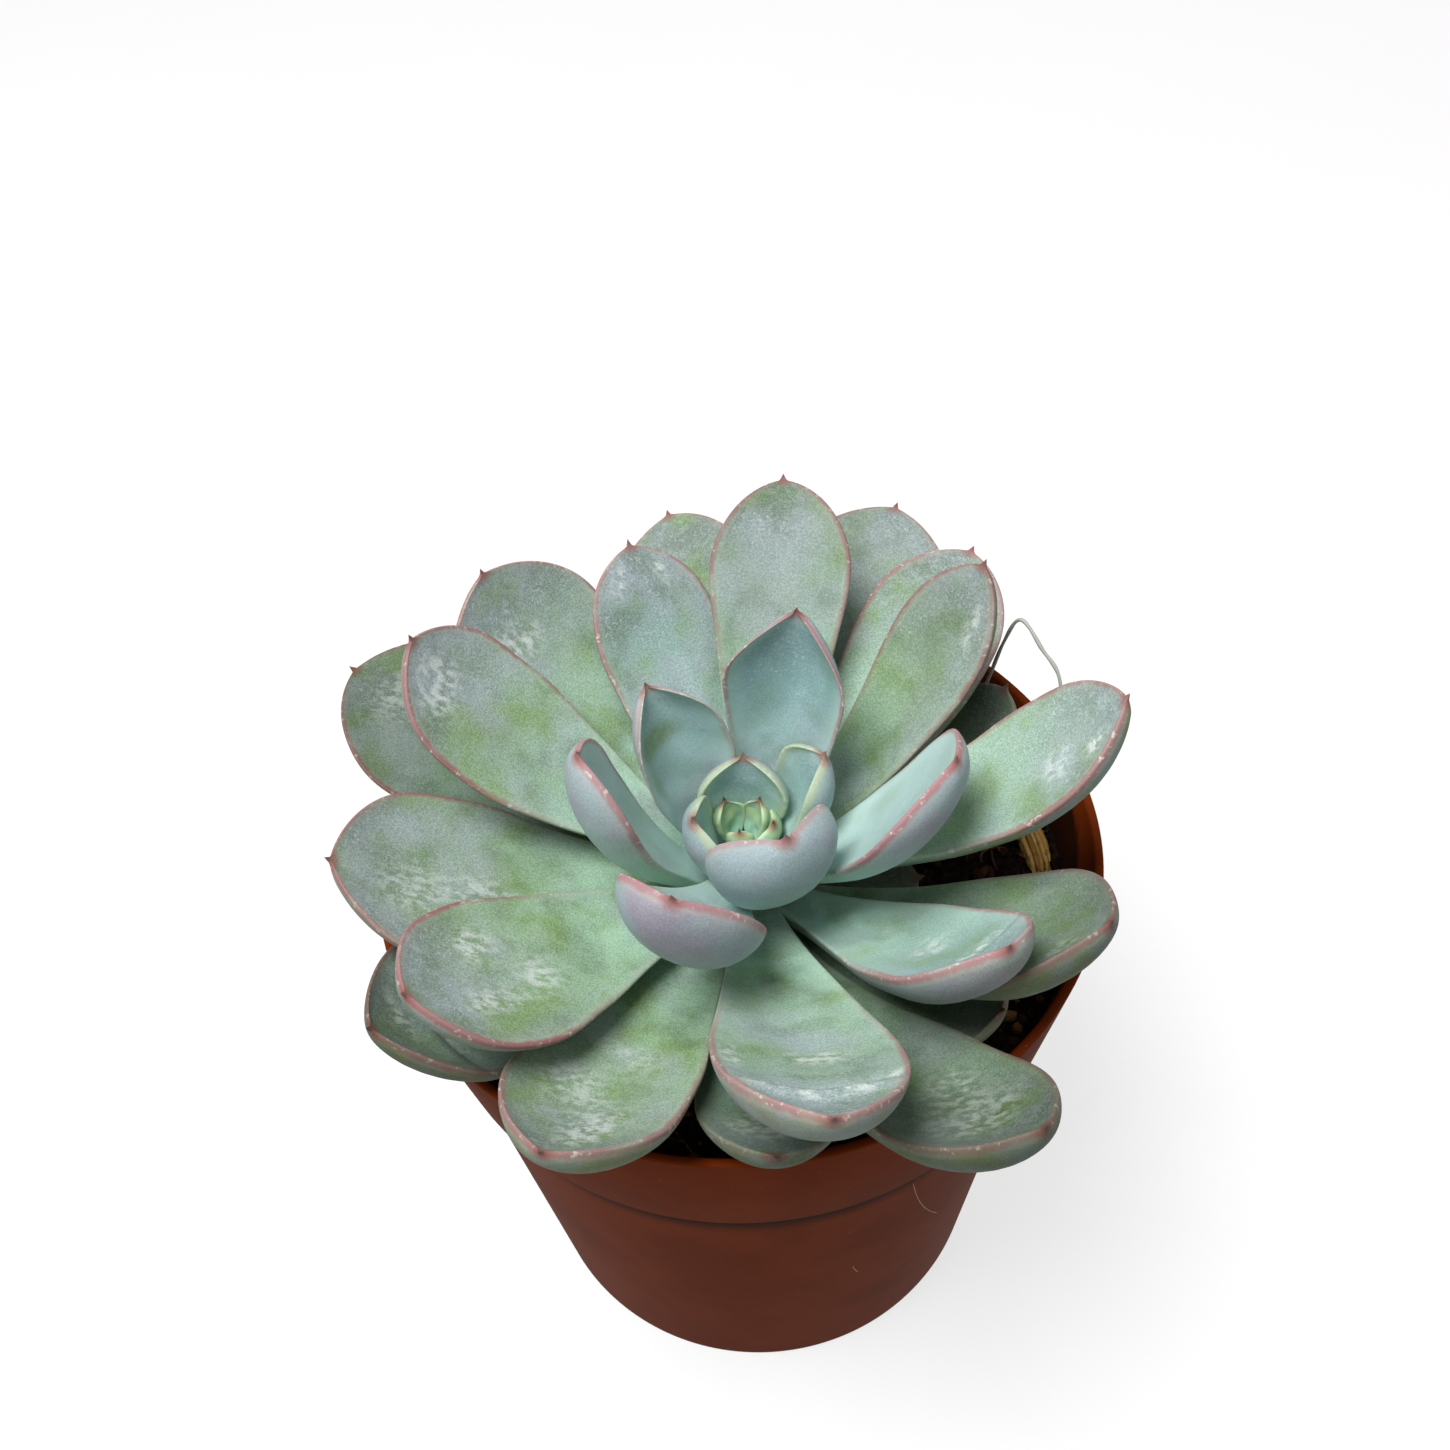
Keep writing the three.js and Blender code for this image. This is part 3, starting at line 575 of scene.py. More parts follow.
LEAVES = [
    dict(order=1, stray=3, length=18, width=13, cup=53, rise=85, bend=4, curl=-15, sway=2, roll=7, seat=-3),
    dict(order=2, stray=-8, length=30, width=19.5, cup=65, rise=38, bend=35, curl=12, sway=-4, roll=7),
    dict(order=3, stray=58, length=15.5, width=11, cup=43, rise=74, bend=3, curl=-10, roll=-27, seat=-1.5),
    dict(order=4, stray=-18, length=20.5, width=12, cup=57, rise=61, bend=17, curl=-15, sway=3, roll=7),
    dict(order=5, stray=10, length=45, width=18.5, cup=29, rise=29, bend=40, curl=2, sway=7,
         roll=-14, seat=0.5),
    dict(order=6, stray=42, length=30, width=17, cup=75, rise=75, bend=-5, sway=-6, roll=-22, seat=-1),
    dict(order=7, stray=7, length=40, width=21, cup=15, rise=38, bend=29, sway=-4, roll=-3, seat=1.5),
    dict(order=8, stray=8, length=36, width=15, cup=30, rise=47, bend=38, curl=-11, sway=4, roll=-6),
    dict(order=9, stray=1, length=36.5, width=19.5, cup=64, rise=61, bend=23, curl=3, sway=3,
         roll=13, seat=0.5),
    dict(order=10, stray=2, length=65, width=21.5, cup=21, rise=19, bend=26, curl=7, sway=-2, roll=-9),
    dict(order=11, stray=23, length=51.5, width=21, cup=5, rise=28, bend=24, curl=16, sway=2,
         roll=-7, seat=1.5),
    dict(order=12, stray=-8, length=55.5, width=18.5, cup=14, rise=22, bend=33, curl=6, sway=-2,
         roll=4, seat=2.5),
    dict(order=13, stray=-4, length=54.5, width=22, cup=10, rise=16, bend=23, curl=10, sway=8,
         roll=-15, seat=2),
    dict(order=14, stray=-12, length=53.5, width=20, cup=15, rise=36, bend=-3, curl=-10, sway=11, seat=1.5),
    dict(order=15, stray=9, length=49.5, width=18, cup=18, rise=13, bend=40, curl=10, sway=-17,
         roll=-4, seat=1),
    dict(order=16, stray=18, length=53, width=26, cup=12, rise=12, bend=24, curl=6, sway=4, roll=-7),
    dict(order=17, stray=-3, length=51, width=15.5, cup=8, rise=31, bend=32, curl=-6, sway=2,
         roll=2, seat=1),
    dict(order=18, stray=-14, length=56.5, width=22, cup=24, rise=8, bend=24, curl=19, sway=7, roll=-3),
    dict(order=19, stray=-11, length=46.5, width=21, cup=3, rise=41, bend=3, sway=5, roll=20, seat=0.5),
    dict(order=20, stray=-12, length=53, width=23, cup=20, rise=6, bend=40, curl=12, sway=-5,
         roll=-6, seat=1),
    dict(order=21, stray=3, length=53.5, width=24.5, cup=23, rise=5, bend=21, curl=23, sway=12,
         roll=-4, seat=-2.5),
    dict(order=22, stray=-24, length=56, width=20.5, cup=17, rise=20, bend=12, curl=-12, sway=15,
         roll=10, seat=0.5),
    dict(order=23, stray=1, length=65, width=20.5, cup=21, rise=9, bend=27, curl=24, sway=22, roll=-9),
    dict(order=24, stray=-18, length=55, width=29, cup=6, rise=25, bend=29, curl=14, sway=11),
    dict(order=25, stray=9, length=43.5, width=21, cup=5, rise=13, bend=17, curl=21, sway=13,
         roll=-15, seat=-0.5),
    dict(order=26, stray=36, length=46.5, width=18, cup=5, rise=3, bend=34, curl=4, roll=-7, seat=-2),
    dict(order=27, stray=-1, length=57, width=23, cup=5, rise=25, bend=5, curl=-15, sway=2,
         roll=-21, seat=0.5),
    dict(order=28, stray=-2, length=38.5, width=18, cup=5, rise=4, bend=17, curl=26, roll=11, seat=-0.5),
    dict(order=30, stray=20, length=64, width=27, cup=11, rise=15, bend=18, curl=-10, sway=-3,
         roll=5, seat=-1.5),
    dict(order=32, stray=18, length=63.5, width=30, cup=14, rise=15, bend=8, curl=-9),
    dict(order=33, stray=15, length=20.5, width=10, cup=12, rise=4, bend=2, curl=-15, sway=-3,
         roll=-2, seat=-0.5),
]


def leaf_width(share, sharp):
    """Half width as a share of the greatest: a power of a sine up to the widest place, then an
    arc that closes at the tip, the more pointed the higher its power is."""
    swell = np.sin(np.clip(share / WIDEST_AT, 0, 1) * np.pi / 2) ** WIDTH_SWELL
    past = np.clip((share - WIDEST_AT) / (1 - WIDEST_AT), 0, 1)
    return (ROOT_WIDTH + (1 - ROOT_WIDTH) * swell) * (1 - past ** TIP_ROUND) ** sharp


def leaf_thickness(share):
    """Thickness as a share of the greatest: a sine from the root, then a rounded end."""
    swell = np.sin(np.clip(share / THICKEST_AT, 0, 1) * np.pi / 2)
    past = np.clip((share - THICKEST_AT) / (1 - THICKEST_AT), 0, 1)
    return (ROOT_THICKNESS + (1 - ROOT_THICKNESS) * swell) * (1 - past ** END_ROUND) ** END_FULL


def leaf_midrib(leaf, distance):
    """Points and three directions down the middle of the upper face. The slope above level is the
    rise, plus the bend by the share of the length, plus the curl by the square of the share of the
    end part; the points are the running sum of the direction that this gives."""
    share = np.clip(distance / leaf["length"], 0, 1)
    ended = np.clip((share - CURL_FROM) / (1 - CURL_FROM), 0, 1)
    slope = np.radians(leaf["rise"] + leaf["bend"] * share + leaf["curl"] * ended ** 2)
    turn = np.radians(leaf["turn"] + leaf["sway"] * share)
    along = np.stack([np.cos(slope) * np.cos(turn), np.cos(slope) * np.sin(turn), np.sin(slope)], -1)
    left = np.stack([-np.sin(turn), np.cos(turn), np.zeros_like(turn)], -1)
    up = np.cross(along, left)
    c, s = np.cos(np.radians(leaf["roll"])), np.sin(np.radians(leaf["roll"]))
    steps = (along[1:] + along[:-1]) / 2 * np.diff(distance)[:, None]
    points = leaf["root"] + np.concatenate([np.zeros((1, 3)), np.cumsum(steps, 0)])
    return points, along, left * c + up * s, up * c - left * s


def leaf_surface(leaf, rings=LEAF_RINGS, count=LEAF_ACROSS):
    """A leaf's closed skin. Across, the upper face is an arc that turns by the cup on each side,
    and the back hangs below it by the thickness times a rounded falloff; both roll over a small
    round at the edge. The widths end in a fine cone, the leaf's point. Returns the points, the
    faces, and what the material reads at each point: the share of the length, the distance from
    the edge, the distance from the tip, whether it is on the back, and the share across. The relief
    is a few sine ripples, a shallow channel along the middle and, on some leaves, a cross fold."""
    full = leaf["length"] + POINT_LENGTH
    distance = full * (1 - (1 - np.linspace(0, 1, rings + 1)) ** RINGS_TO_TIP)
    middle, along, left, up = leaf_midrib(leaf, distance)
    share = np.clip(distance / leaf["length"], 0, 1)[:, None]
    chance = np.random.default_rng(leaf["order"])
    beak = min(POINT_RADIUS, POINT_RADIUS_SHARE * leaf["width"])
    cone = beak * np.clip((full - distance) / (2 * POINT_LENGTH), 0, 1)[:, None] ** 1.1
    wave, shift = chance.uniform(8, 15, 2), chance.uniform(0, 6, 2)
    wander = 1 + EDGE_WAVE * np.sin(wave[0] * share + shift[0])
    wander = wander + EDGE_WAVELET * np.sin(2 * wave[1] * share + shift[1])
    sharp = TIP_SHARP_YOUNG if young_leaf(leaf) else TIP_SHARP
    width = leaf["width"] / 2 * leaf_width(share, sharp) * wander
    width = (width ** 4 + cone ** 4) ** 0.25
    slim = leaf["order"] in SLIM_LEAVES
    thick = leaf["thick"] * leaf_thickness(share) * (SLIM_THICKNESS if slim else 1)
    full_back = SLIM_BACK_FULL if slim else BACK_FULL
    thick = (thick ** 4 + (1.4 * cone) ** 4) ** 0.25
    across = np.sin(np.linspace(-1, 1, count) * np.pi / 2)
    bow = np.radians(leaf["cup"]) * (CUP_AT_ROOT + (CUP_AT_TIP - CUP_AT_ROOT) * share)
    turn = bow * across
    edge = np.minimum(np.minimum(EDGE_RADIUS, 0.4 * width), 0.4 * thick)
    over = np.clip((np.abs(across) * width - (width - edge)) / edge, 0, 1)
    roll_off = edge * (1 - np.sqrt(1 - over ** 2))
    hang = edge + (thick - edge) * (1 - np.abs(across) ** BACK_ROUND) ** full_back
    phase, pitch = chance.uniform(0, 6.3, 6), chance.uniform(0.6, 1.4, 6)
    calm = np.sin(np.pi * np.clip(share, 0, 1)) * (1 - across ** 2)
    relief = 0
    for k, (high, quick, slant) in enumerate(RIPPLES):
        relief = relief + high * np.sin(quick * pitch[k] * share + slant * across + phase[k])
    relief = relief * calm - CHANNEL_DEPTH * np.exp(-(across / CHANNEL_WIDTH) ** 2) * calm
    for at, depth in leaf["folds"]:
        past_fold = share - at - FOLD_BOW * (1 - across ** 2)
        ridge = RIDGE_HEIGHT * np.exp(-((past_fold - RIDGE_PAST_FOLD) / RIDGE_WIDTH) ** 2)
        relief = relief - depth * (np.exp(-(past_fold / FOLD_WIDTH) ** 2) - ridge) * (1 - across ** 4)
    below = BACK_RIPPLE * np.sin(8 * pitch[3] * share + 3 * across + phase[3]) * calm
    normal = up[:, None] * np.cos(turn)[..., None] - left[:, None] * np.sin(turn)[..., None]
    sheet = middle[:, None] + left[:, None] * (np.sin(turn) / bow * width)[..., None]
    sheet = sheet + up[:, None] * ((1 - np.cos(turn)) / bow * width)[..., None]
    face = sheet + normal * (relief - roll_off)[..., None]
    back = sheet - normal * (hang + below)[..., None]
    ring = np.concatenate([face, back[:, -2:0:-1]], 1)[:-1]
    size = ring.shape[1]
    steps = np.linalg.norm(np.roll(ring, -1, 1) - ring, axis=2)
    walked = np.concatenate([np.zeros((rings, 1)), np.cumsum(steps, 1)], 1)
    upper, whole = walked[:, count - 1:count], walked[:, -1:]
    walked = walked[:, :-1]
    from_edge = np.minimum(np.minimum(walked, np.abs(walked - upper)), whole - walked)
    is_back = np.zeros((rings, size))
    is_back[:, count:] = 1
    is_back[:, [0, count - 1]] = 0.5
    tip = middle[-1:] - up[-1:] * 0.1
    from_tip = np.linalg.norm(ring - tip, axis=2)
    place = np.stack([np.broadcast_to(share[:-1], from_edge.shape), from_edge, from_tip], -1).reshape(-1, 3)
    points = np.concatenate([ring.reshape(-1, 3), tip])
    last = (rings - 1) * size
    point_faces = [[last + i, last + (i + 1) % size, rings * size] for i in range(size)]
    faces = [list(range(size))[::-1], *grid_faces(rings, size).tolist(), *point_faces]
    across_ring = np.concatenate([across, across[-2:0:-1]])
    across_all = np.append(np.broadcast_to(across_ring, from_edge.shape).reshape(-1), 0)
    place = np.concatenate([place, [[1, 0, 0]]])
    return points, faces, place, np.append(is_back.reshape(-1), 0.5), across_all


def young_leaf(leaf):
    """Whether a leaf is one of the half-grown ones, or of the heart's."""
    return leaf["order"] <= YOUNG_UP_TO or leaf["order"] >= FIRST_HEART_ORDER


def outward(points, faces):
    """The faces, turned round if the sum of the signed volumes under them comes out negative."""
    corners = points[np.array([f[:3] for f in faces if len(f) < 5])]
    volume = np.einsum("ij,ij->i", corners[:, 0], np.cross(corners[:, 1], corners[:, 2])).sum()
    return faces if volume > 0 else [f[::-1] for f in faces]


# How each leaf looks, by its order: how blue-grey its bloom is and how red its edge, as it has aged, and how
# much painted shade darkens it where it lies low under other leaves, or, below zero, how thick its bloom is.
HABITS_AND_SHADE = {
    1: (0.5, 0.05, 0.0), 2: (0.7, 0.6, -0.1), 3: (0.6, 0.05, 0.0), 4: (0.7, 0.05, 0.0),
    5: (0.8, 1.0, 0.1), 6: (1.0, 0.4, -0.3), 7: (0.8, 1.0, -0.7), 8: (0.8, 0.9, -0.6),
    9: (1.0, 0.9, 0.1), 10: (0.2, 0.8, 0.25), 11: (0.25, 0.9, 0.25), 12: (0.4, 0.8, -0.2),
    13: (0.1, 1.0, 0.3), 14: (0.45, 0.8, 0.5), 15: (0.5, 0.9, -0.1), 16: (0.1, 0.9, 0.4),
    17: (0.1, 0.8, 0.45), 18: (0.05, 0.8, 0.35), 19: (0.8, 0.8, 0.15), 20: (0.15, 0.7, 0.6),
    21: (0.7, 0.8, 0.85), 22: (0.4, 0.8, 0.1), 23: (0.3, 0.6, 0.8), 24: (0.3, 0.8, -0.15),
    25: (0.2, 0.2, 0.7), 26: (0.7, 0.25, 0.85), 27: (0.2, 0.6, 0.4), 28: (0.1, 0.3, 0.8),
    30: (0.3, 0.7, 0.4), 32: (0.4, 0.9, 0.75), 33: (0.1, 0.1, 0.9),
}

# Two of the older leaves have kept some of the young look, with a lavender back.
HALF_YOUNG = {10: 0.2, 15: 0.55}

# Cross folds: where a leaf's upper face is buckled across, as (share of the length, depth).
FOLDS = {10: [(0.81, 1.1)], 15: [(0.8, 0.3)], 21: [(0.8, 0.6)]}

# Wax marks: places where a leaf's bloom is rubbed up white, or off down to the green. The two lines across
# leaf 10's
# fold are partly painted: the white one at 0.832 is rubbed wax and painted highlight, the green one at 0.812
# in its groove is painted shade. Each has the leaf's order, the share of its length, the share across, its
# reach both ways and its strength.
MARKS = [
    (10, 0.832, 0.00, 0.012, 1.50, 1.0), (10, 0.845, -0.75, 0.018, 0.28, 1.0),
    (10, 0.82, 0.60, 0.014, 0.35, 1.0), (10, 0.80, 0.85, 0.020, 0.15, 0.8),
    (10, 0.875, -0.25, 0.016, 0.25, 0.9), (10, 0.87, 0.40, 0.014, 0.35, 0.9),
    (10, 0.66, 0.10, 0.030, 0.40, 0.9), (10, 0.70, -0.80, 0.060, 0.12, 0.9),
    (10, 0.45, -0.50, 0.10, 0.30, -0.5), (10, 0.75, 0.10, 0.02, 0.70, -0.5),
    (10, 0.812, 0.00, 0.008, 1.50, -0.7), (13, 0.72, -0.45, 0.05, 0.20, 0.9),
    (13, 0.80, 0.30, 0.10, 0.15, 0.7), (13, 0.60, 0.20, 0.06, 0.30, 0.6),
    (13, 0.90, 0.10, 0.04, 0.30, -0.6), (16, 0.62, 0.10, 0.10, 0.20, 0.7),
    (16, 0.80, 0.20, 0.10, 0.40, 0.6), (11, 0.88, 0.20, 0.08, 0.50, 1.0),
    (24, 0.80, 0.10, 0.06, 0.35, 0.9), (24, 0.55, 0.50, 0.10, 0.15, 0.7),
    (18, 0.85, 0.20, 0.08, 0.25, 0.6), (18, 0.55, 0.00, 0.05, 0.50, 0.4),
    (12, 0.78, -0.20, 0.05, 0.35, 0.8), (12, 0.90, -0.40, 0.04, 0.20, 0.9),
    (23, 0.80, 0.00, 0.05, 0.50, 0.9), (23, 0.68, 0.30, 0.04, 0.30, 0.8),
    (15, 0.62, 0.00, 0.06, 0.40, 0.6), (15, 0.80, 0.10, 0.03, 0.60, 0.7),
    (20, 0.88, -0.30, 0.05, 0.30, 0.7), (21, 0.82, 0.00, 0.02, 0.70, 0.9),
    (21, 0.90, -0.20, 0.02, 0.50, 0.9), (32, 0.88, 0.00, 0.06, 0.50, 0.7),
    (26, 0.85, -0.20, 0.06, 0.50, 0.8), (19, 0.90, 0.50, 0.05, 0.20, 0.9),
    (19, 0.90, -0.50, 0.05, 0.20, 0.8), (17, 0.85, -0.50, 0.08, 0.15, 0.8),
    (6, 0.76, 0.25, 0.07, 0.50, -1.0), (6, 0.55, 0.60, 0.16, 0.16, -0.6),
    (14, 0.60, -0.20, 0.20, 0.10, 0.4), (16, 0.42, -0.30, 0.12, 0.30, -0.4),
    (11, 0.60, 0.10, 0.10, 0.40, -0.3), (18, 0.70, -0.40, 0.06, 0.40, 0.5),
    (18, 0.78, 0.10, 0.20, 0.80, 0.3), (23, 0.78, 0.00, 0.18, 0.80, 0.4),
    (13, 0.75, 0.00, 0.20, 0.80, 0.25), (26, 0.80, 0.10, 0.10, 0.60, 0.5),
]


def wax_and_light_marks(order, share, across):
    """The sum of a leaf's marks, each a bell in the two directions of the leaf."""
    total = np.zeros_like(share)
    for which, at, side, long, wide, strength in MARKS:
        if which == order:
            total += strength * np.exp(-((share - at) / long) ** 2 - ((across - side) / wide) ** 2)
    return np.clip(total, -1, 1)


def give(piece, name, values):
    """Writes three numbers a point into the mesh for the material to read."""
    attribute = piece.data.attributes.new(name, "FLOAT_VECTOR", "POINT")
    attribute.data.foreach_set("vector", np.asarray(values, np.float32).reshape(-1))


# Leaf skin: living epidermis under wax bloom, grown and never handled smooth. The wax scatters
# light, so it looks powdery and bluish; the green flesh shows where it is thin, and red
# pigment gathers in the edge and the point.
leaf_skin, shader, here = new_material("echeveria leaf with wax bloom")
place = add(leaf_skin, "Attribute", attribute_name="place").outputs["Vector"]
wear_and_light = add(leaf_skin, "Attribute", attribute_name="wear_and_light").outputs["Vector"]
habit_and_shade = add(leaf_skin, "Attribute", attribute_name="habit_and_shade").outputs["Vector"]
along, from_edge, from_tip = add(leaf_skin, "SeparateXYZ", {0: place}).outputs
is_back, wax, cool = add(leaf_skin, "SeparateXYZ", {0: wear_and_light}).outputs
young, pink, painted_shade_and_bloom = add(leaf_skin, "SeparateXYZ", {0: habit_and_shade}).outputs

cells = add(leaf_skin, "TexNoise", {"Vector": here, "Scale": 1 / (0.24 * MM), "Detail": 1.5}).outputs[0]
flecks = add(leaf_skin, "TexNoise", {"Vector": here, "Scale": 1 / (1.1 * MM), "Detail": 3}).outputs[0]
patches = add(leaf_skin, "TexNoise", {"Vector": here, "Scale": 1 / (7 * MM), "Detail": 3}).outputs[0]
drifts = add(leaf_skin, "TexNoise", {
    "Vector": add(leaf_skin, "Mapping", {"Vector": here, "Location": (0.5, 0.2, 0.1)}).outputs[0],
    "Scale": 1 / (12 * MM), "Detail": 2,
}).outputs[0]

# The upper face runs from pale mint at the root to grey-green at the end, with greener and
# greyer patches a few millimetres across; young leaves are bluer and more even.
to_middle = add(leaf_skin, "MapRange", {0: along, 1: 0.15, 2: 0.66}, **SMOOTH).outputs[0]
to_end = add(leaf_skin, "MapRange", {0: along, 1: 0.6, 2: 0.97}, **SMOOTH).outputs[0]
green_face = add(leaf_skin, "Mix", {
    0: to_middle, 6: linear("#add1b6"), 7: linear("#96b08f"),
}, **COLOUR).outputs[2]
green_face = add(leaf_skin, "Mix", {0: to_end, 6: green_face, 7: linear("#7e8b82")}, **COLOUR).outputs[2]
cool_face = add(leaf_skin, "Mix", {
    0: to_middle, 6: linear("#c2e4e1"), 7: linear("#98b4b3"),
}, **COLOUR).outputs[2]
cool_face = add(leaf_skin, "Mix", {0: to_end, 6: cool_face, 7: linear("#869599")}, **COLOUR).outputs[2]
face = add(leaf_skin, "Mix", {0: cool, 6: green_face, 7: cool_face}, **COLOUR).outputs[2]
greener = add(leaf_skin, "Math", {
    0: add(leaf_skin, "MapRange", {0: patches, 1: 0.44, 2: 0.68, 4: 0.8}, **SMOOTH).outputs[0],
    1: add(leaf_skin, "MapRange", {0: cool, 1: 0, 2: 1, 3: 1, 4: 0.45}, **SMOOTH).outputs[0],
}, **TIMES).outputs[0]
face = add(leaf_skin, "Mix", {0: greener, 6: face, 7: linear("#819d63")}, **COLOUR).outputs[2]
greyer = add(leaf_skin, "MapRange", {0: drifts, 1: 0.42, 2: 0.68, 4: 0.68}, **SMOOTH).outputs[0]
face = add(leaf_skin, "Mix", {0: greyer, 6: face, 7: linear("#a8b3ba")}, **COLOUR).outputs[2]
darker = add(leaf_skin, "MapRange", {
    0: add(leaf_skin, "TexNoise", {"Vector": here, "Scale": 1 / (6.5 * MM), "Detail": 3}).outputs[0],
    1: 0.46, 2: 0.76, 4: 0.5,
}, **SMOOTH).outputs[0]
face = add(leaf_skin, "Mix", {0: darker, 6: face, 7: linear("#667a60")}, **COLOUR).outputs[2]
blue_end = add(leaf_skin, "MapRange", {0: along, 1: 0.35, 2: 0.75, 3: 0.1, 4: 0.5}, **SMOOTH).outputs[0]
face = add(leaf_skin, "Mix", {
    0: add(leaf_skin, "Math", {0: young, 1: blue_end}, **TIMES).outputs[0],
    6: face, 7: linear("#83acae"),
}, **COLOUR).outputs[2]

# The back is lavender-grey on young leaves and olive-grey on old ones, which have lost its wax.
young_back = add(leaf_skin, "Mix", {
    0: add(leaf_skin, "MapRange", {0: drifts, 1: 0.4, 2: 0.62}, **SMOOTH).outputs[0],
    6: linear("#93a3a8"), 7: linear("#948f9c"),
}, **COLOUR).outputs[2]
young_back = add(leaf_skin, "Mix", {
    0: add(leaf_skin, "MapRange", {0: along, 1: 0.9, 2: 0.35}, **SMOOTH).outputs[0],
    6: young_back, 7: linear("#a3c3b9"),
}, **COLOUR).outputs[2]
old_back = add(leaf_skin, "Mix", {
    0: add(leaf_skin, "MapRange", {0: patches, 1: 0.4, 2: 0.65}, **SMOOTH).outputs[0],
    6: linear("#77855f"), 7: linear("#84938d"),
}, **COLOUR).outputs[2]
back = add(leaf_skin, "Mix", {0: young, 6: old_back, 7: young_back}, **COLOUR).outputs[2]
skin = add(leaf_skin, "Mix", {0: is_back, 6: face, 7: back}, **COLOUR).outputs[2]

# Rubbed wax: white where it is pushed up, green where it has gone. On leaf 10's fold the white is also
# painted highlight and the green painted shade.
ragged = add(leaf_skin, "MapRange", {
    0: add(leaf_skin, "TexNoise", {
        "Vector": add(leaf_skin, "Mapping", {"Vector": here, "Scale": (1, 1.6, 1)}).outputs[0],
        "Scale": 1 / (1.5 * MM), "Detail": 6,
    }).outputs[0],
    1: 0.4, 2: 0.62,
}, **SMOOTH).outputs[0]
white_wax_and_highlight = add(leaf_skin, "Math", {
    0: add(leaf_skin, "MapRange", {0: wax, 1: 0.05, 2: 0.8}, **SMOOTH).outputs[0],
    1: ragged,
}, **TIMES).outputs[0]
skin = add(leaf_skin, "Mix", {
    0: add(leaf_skin, "Math", {0: white_wax_and_highlight, 1: 0.82}, **TIMES).outputs[0],
    6: skin, 7: linear("#d2dad8"),
}, **COLOUR).outputs[2]
bare_wax_and_shade = add(leaf_skin, "MapRange", {0: wax, 1: -0.1, 2: -0.9}, **SMOOTH).outputs[0]
skin = add(leaf_skin, "Mix", {
    0: add(leaf_skin, "Math", {0: bare_wax_and_shade, 1: 0.8}, **TIMES).outputs[0],
    6: skin, 7: linear("#66803c"),
}, **COLOUR).outputs[2]
end_wax = add(leaf_skin, "Math", {
    0: add(leaf_skin, "MapRange", {0: along, 1: 0.6, 2: 0.95}, **SMOOTH).outputs[0],
    1: add(leaf_skin, "MapRange", {0: flecks, 1: 0.48, 2: 0.64}, **SMOOTH).outputs[0],
}, **TIMES).outputs[0]
faceward = add(leaf_skin, "MapRange", {0: is_back, 1: 0, 2: 1, 3: 1, 4: 0.15}, **SMOOTH).outputs[0]
skin = add(leaf_skin, "Mix", {
    0: add(leaf_skin, "Math", {
        0: end_wax,
        1: add(leaf_skin, "Math", {0: faceward, 1: 0.22}, **TIMES).outputs[0],
    }, **TIMES).outputs[0],
    6: skin, 7: linear("#b4c0c0"),
}, **COLOUR).outputs[2]
powder_grain = add(leaf_skin, "MapRange", {
    0: add(leaf_skin, "TexNoise", {"Vector": here, "Scale": 1 / (0.42 * MM), "Detail": 1}).outputs[0],
    1: 0.58, 2: 0.68,
}, **SMOOTH).outputs[0]
end_powder = add(leaf_skin, "Math", {
    0: add(leaf_skin, "MapRange", {0: along, 1: 0.4, 2: 0.9, 4: 0.42}, **SMOOTH).outputs[0],
    1: powder_grain,
}, **TIMES).outputs[0]
end_powder = add(leaf_skin, "Math", {
    0: end_powder,
    1: add(leaf_skin, "MapRange", {0: patches, 1: 0.55, 2: 0.4, 3: 0.1}, **SMOOTH).outputs[0],
}, **TIMES).outputs[0]
end_powder = add(leaf_skin, "Math", {0: end_powder, 1: faceward}, **TIMES).outputs[0]
skin = add(leaf_skin, "Mix", {0: end_powder, 6: skin, 7: linear("#c9d3d1")}, **COLOUR).outputs[2]

# The cells show as a fine speckle, drawn coarser than life, or they wouldn't show.
speckle = add(leaf_skin, "Mix", {
    0: add(leaf_skin, "MapRange", {0: cells, 1: 0.3, 2: 0.7}, **SMOOTH).outputs[0],
    6: linear("#8e8e8e"), 7: linear("#dcdcdc"),
}, **COLOUR).outputs[2]
finer = add(leaf_skin, "Math", {0: is_back, 1: young}, operation="MAXIMUM").outputs[0]
skin = add(leaf_skin, "Mix", {
    0: add(leaf_skin, "MapRange", {0: finer, 1: 0, 2: 1, 3: 0.72, 4: 0.38}, **SMOOTH).outputs[0],
    6: skin, 7: speckle,
}, **COLOUR, blend_type="SOFT_LIGHT").outputs[2]

# The edge: a pale rim, partly painted highlight, inside a thin dusky red line, crusted white in places, and
# a brown point.
shaken = add(leaf_skin, "Math", {
    0: from_edge,
    1: add(leaf_skin, "Math", {0: flecks, 1: 0.9}, **TIMES).outputs[0],
}, operation="ADD").outputs[0]
# Pale rim with painted highlight: a pale band along the edge, broken by the drifts.
rim = add(leaf_skin, "Math", {
    0: add(leaf_skin, "MapRange", {0: shaken, 1: 2.2, 2: 1.0, 4: 0.4}, **SMOOTH).outputs[0],
    1: add(leaf_skin, "MapRange", {0: drifts, 1: 0.35, 2: 0.6, 3: 0.3}, **SMOOTH).outputs[0],
}, **TIMES).outputs[0]
skin = add(leaf_skin, "Mix", {0: rim, 6: skin, 7: linear("#bccab4")}, **COLOUR).outputs[2]
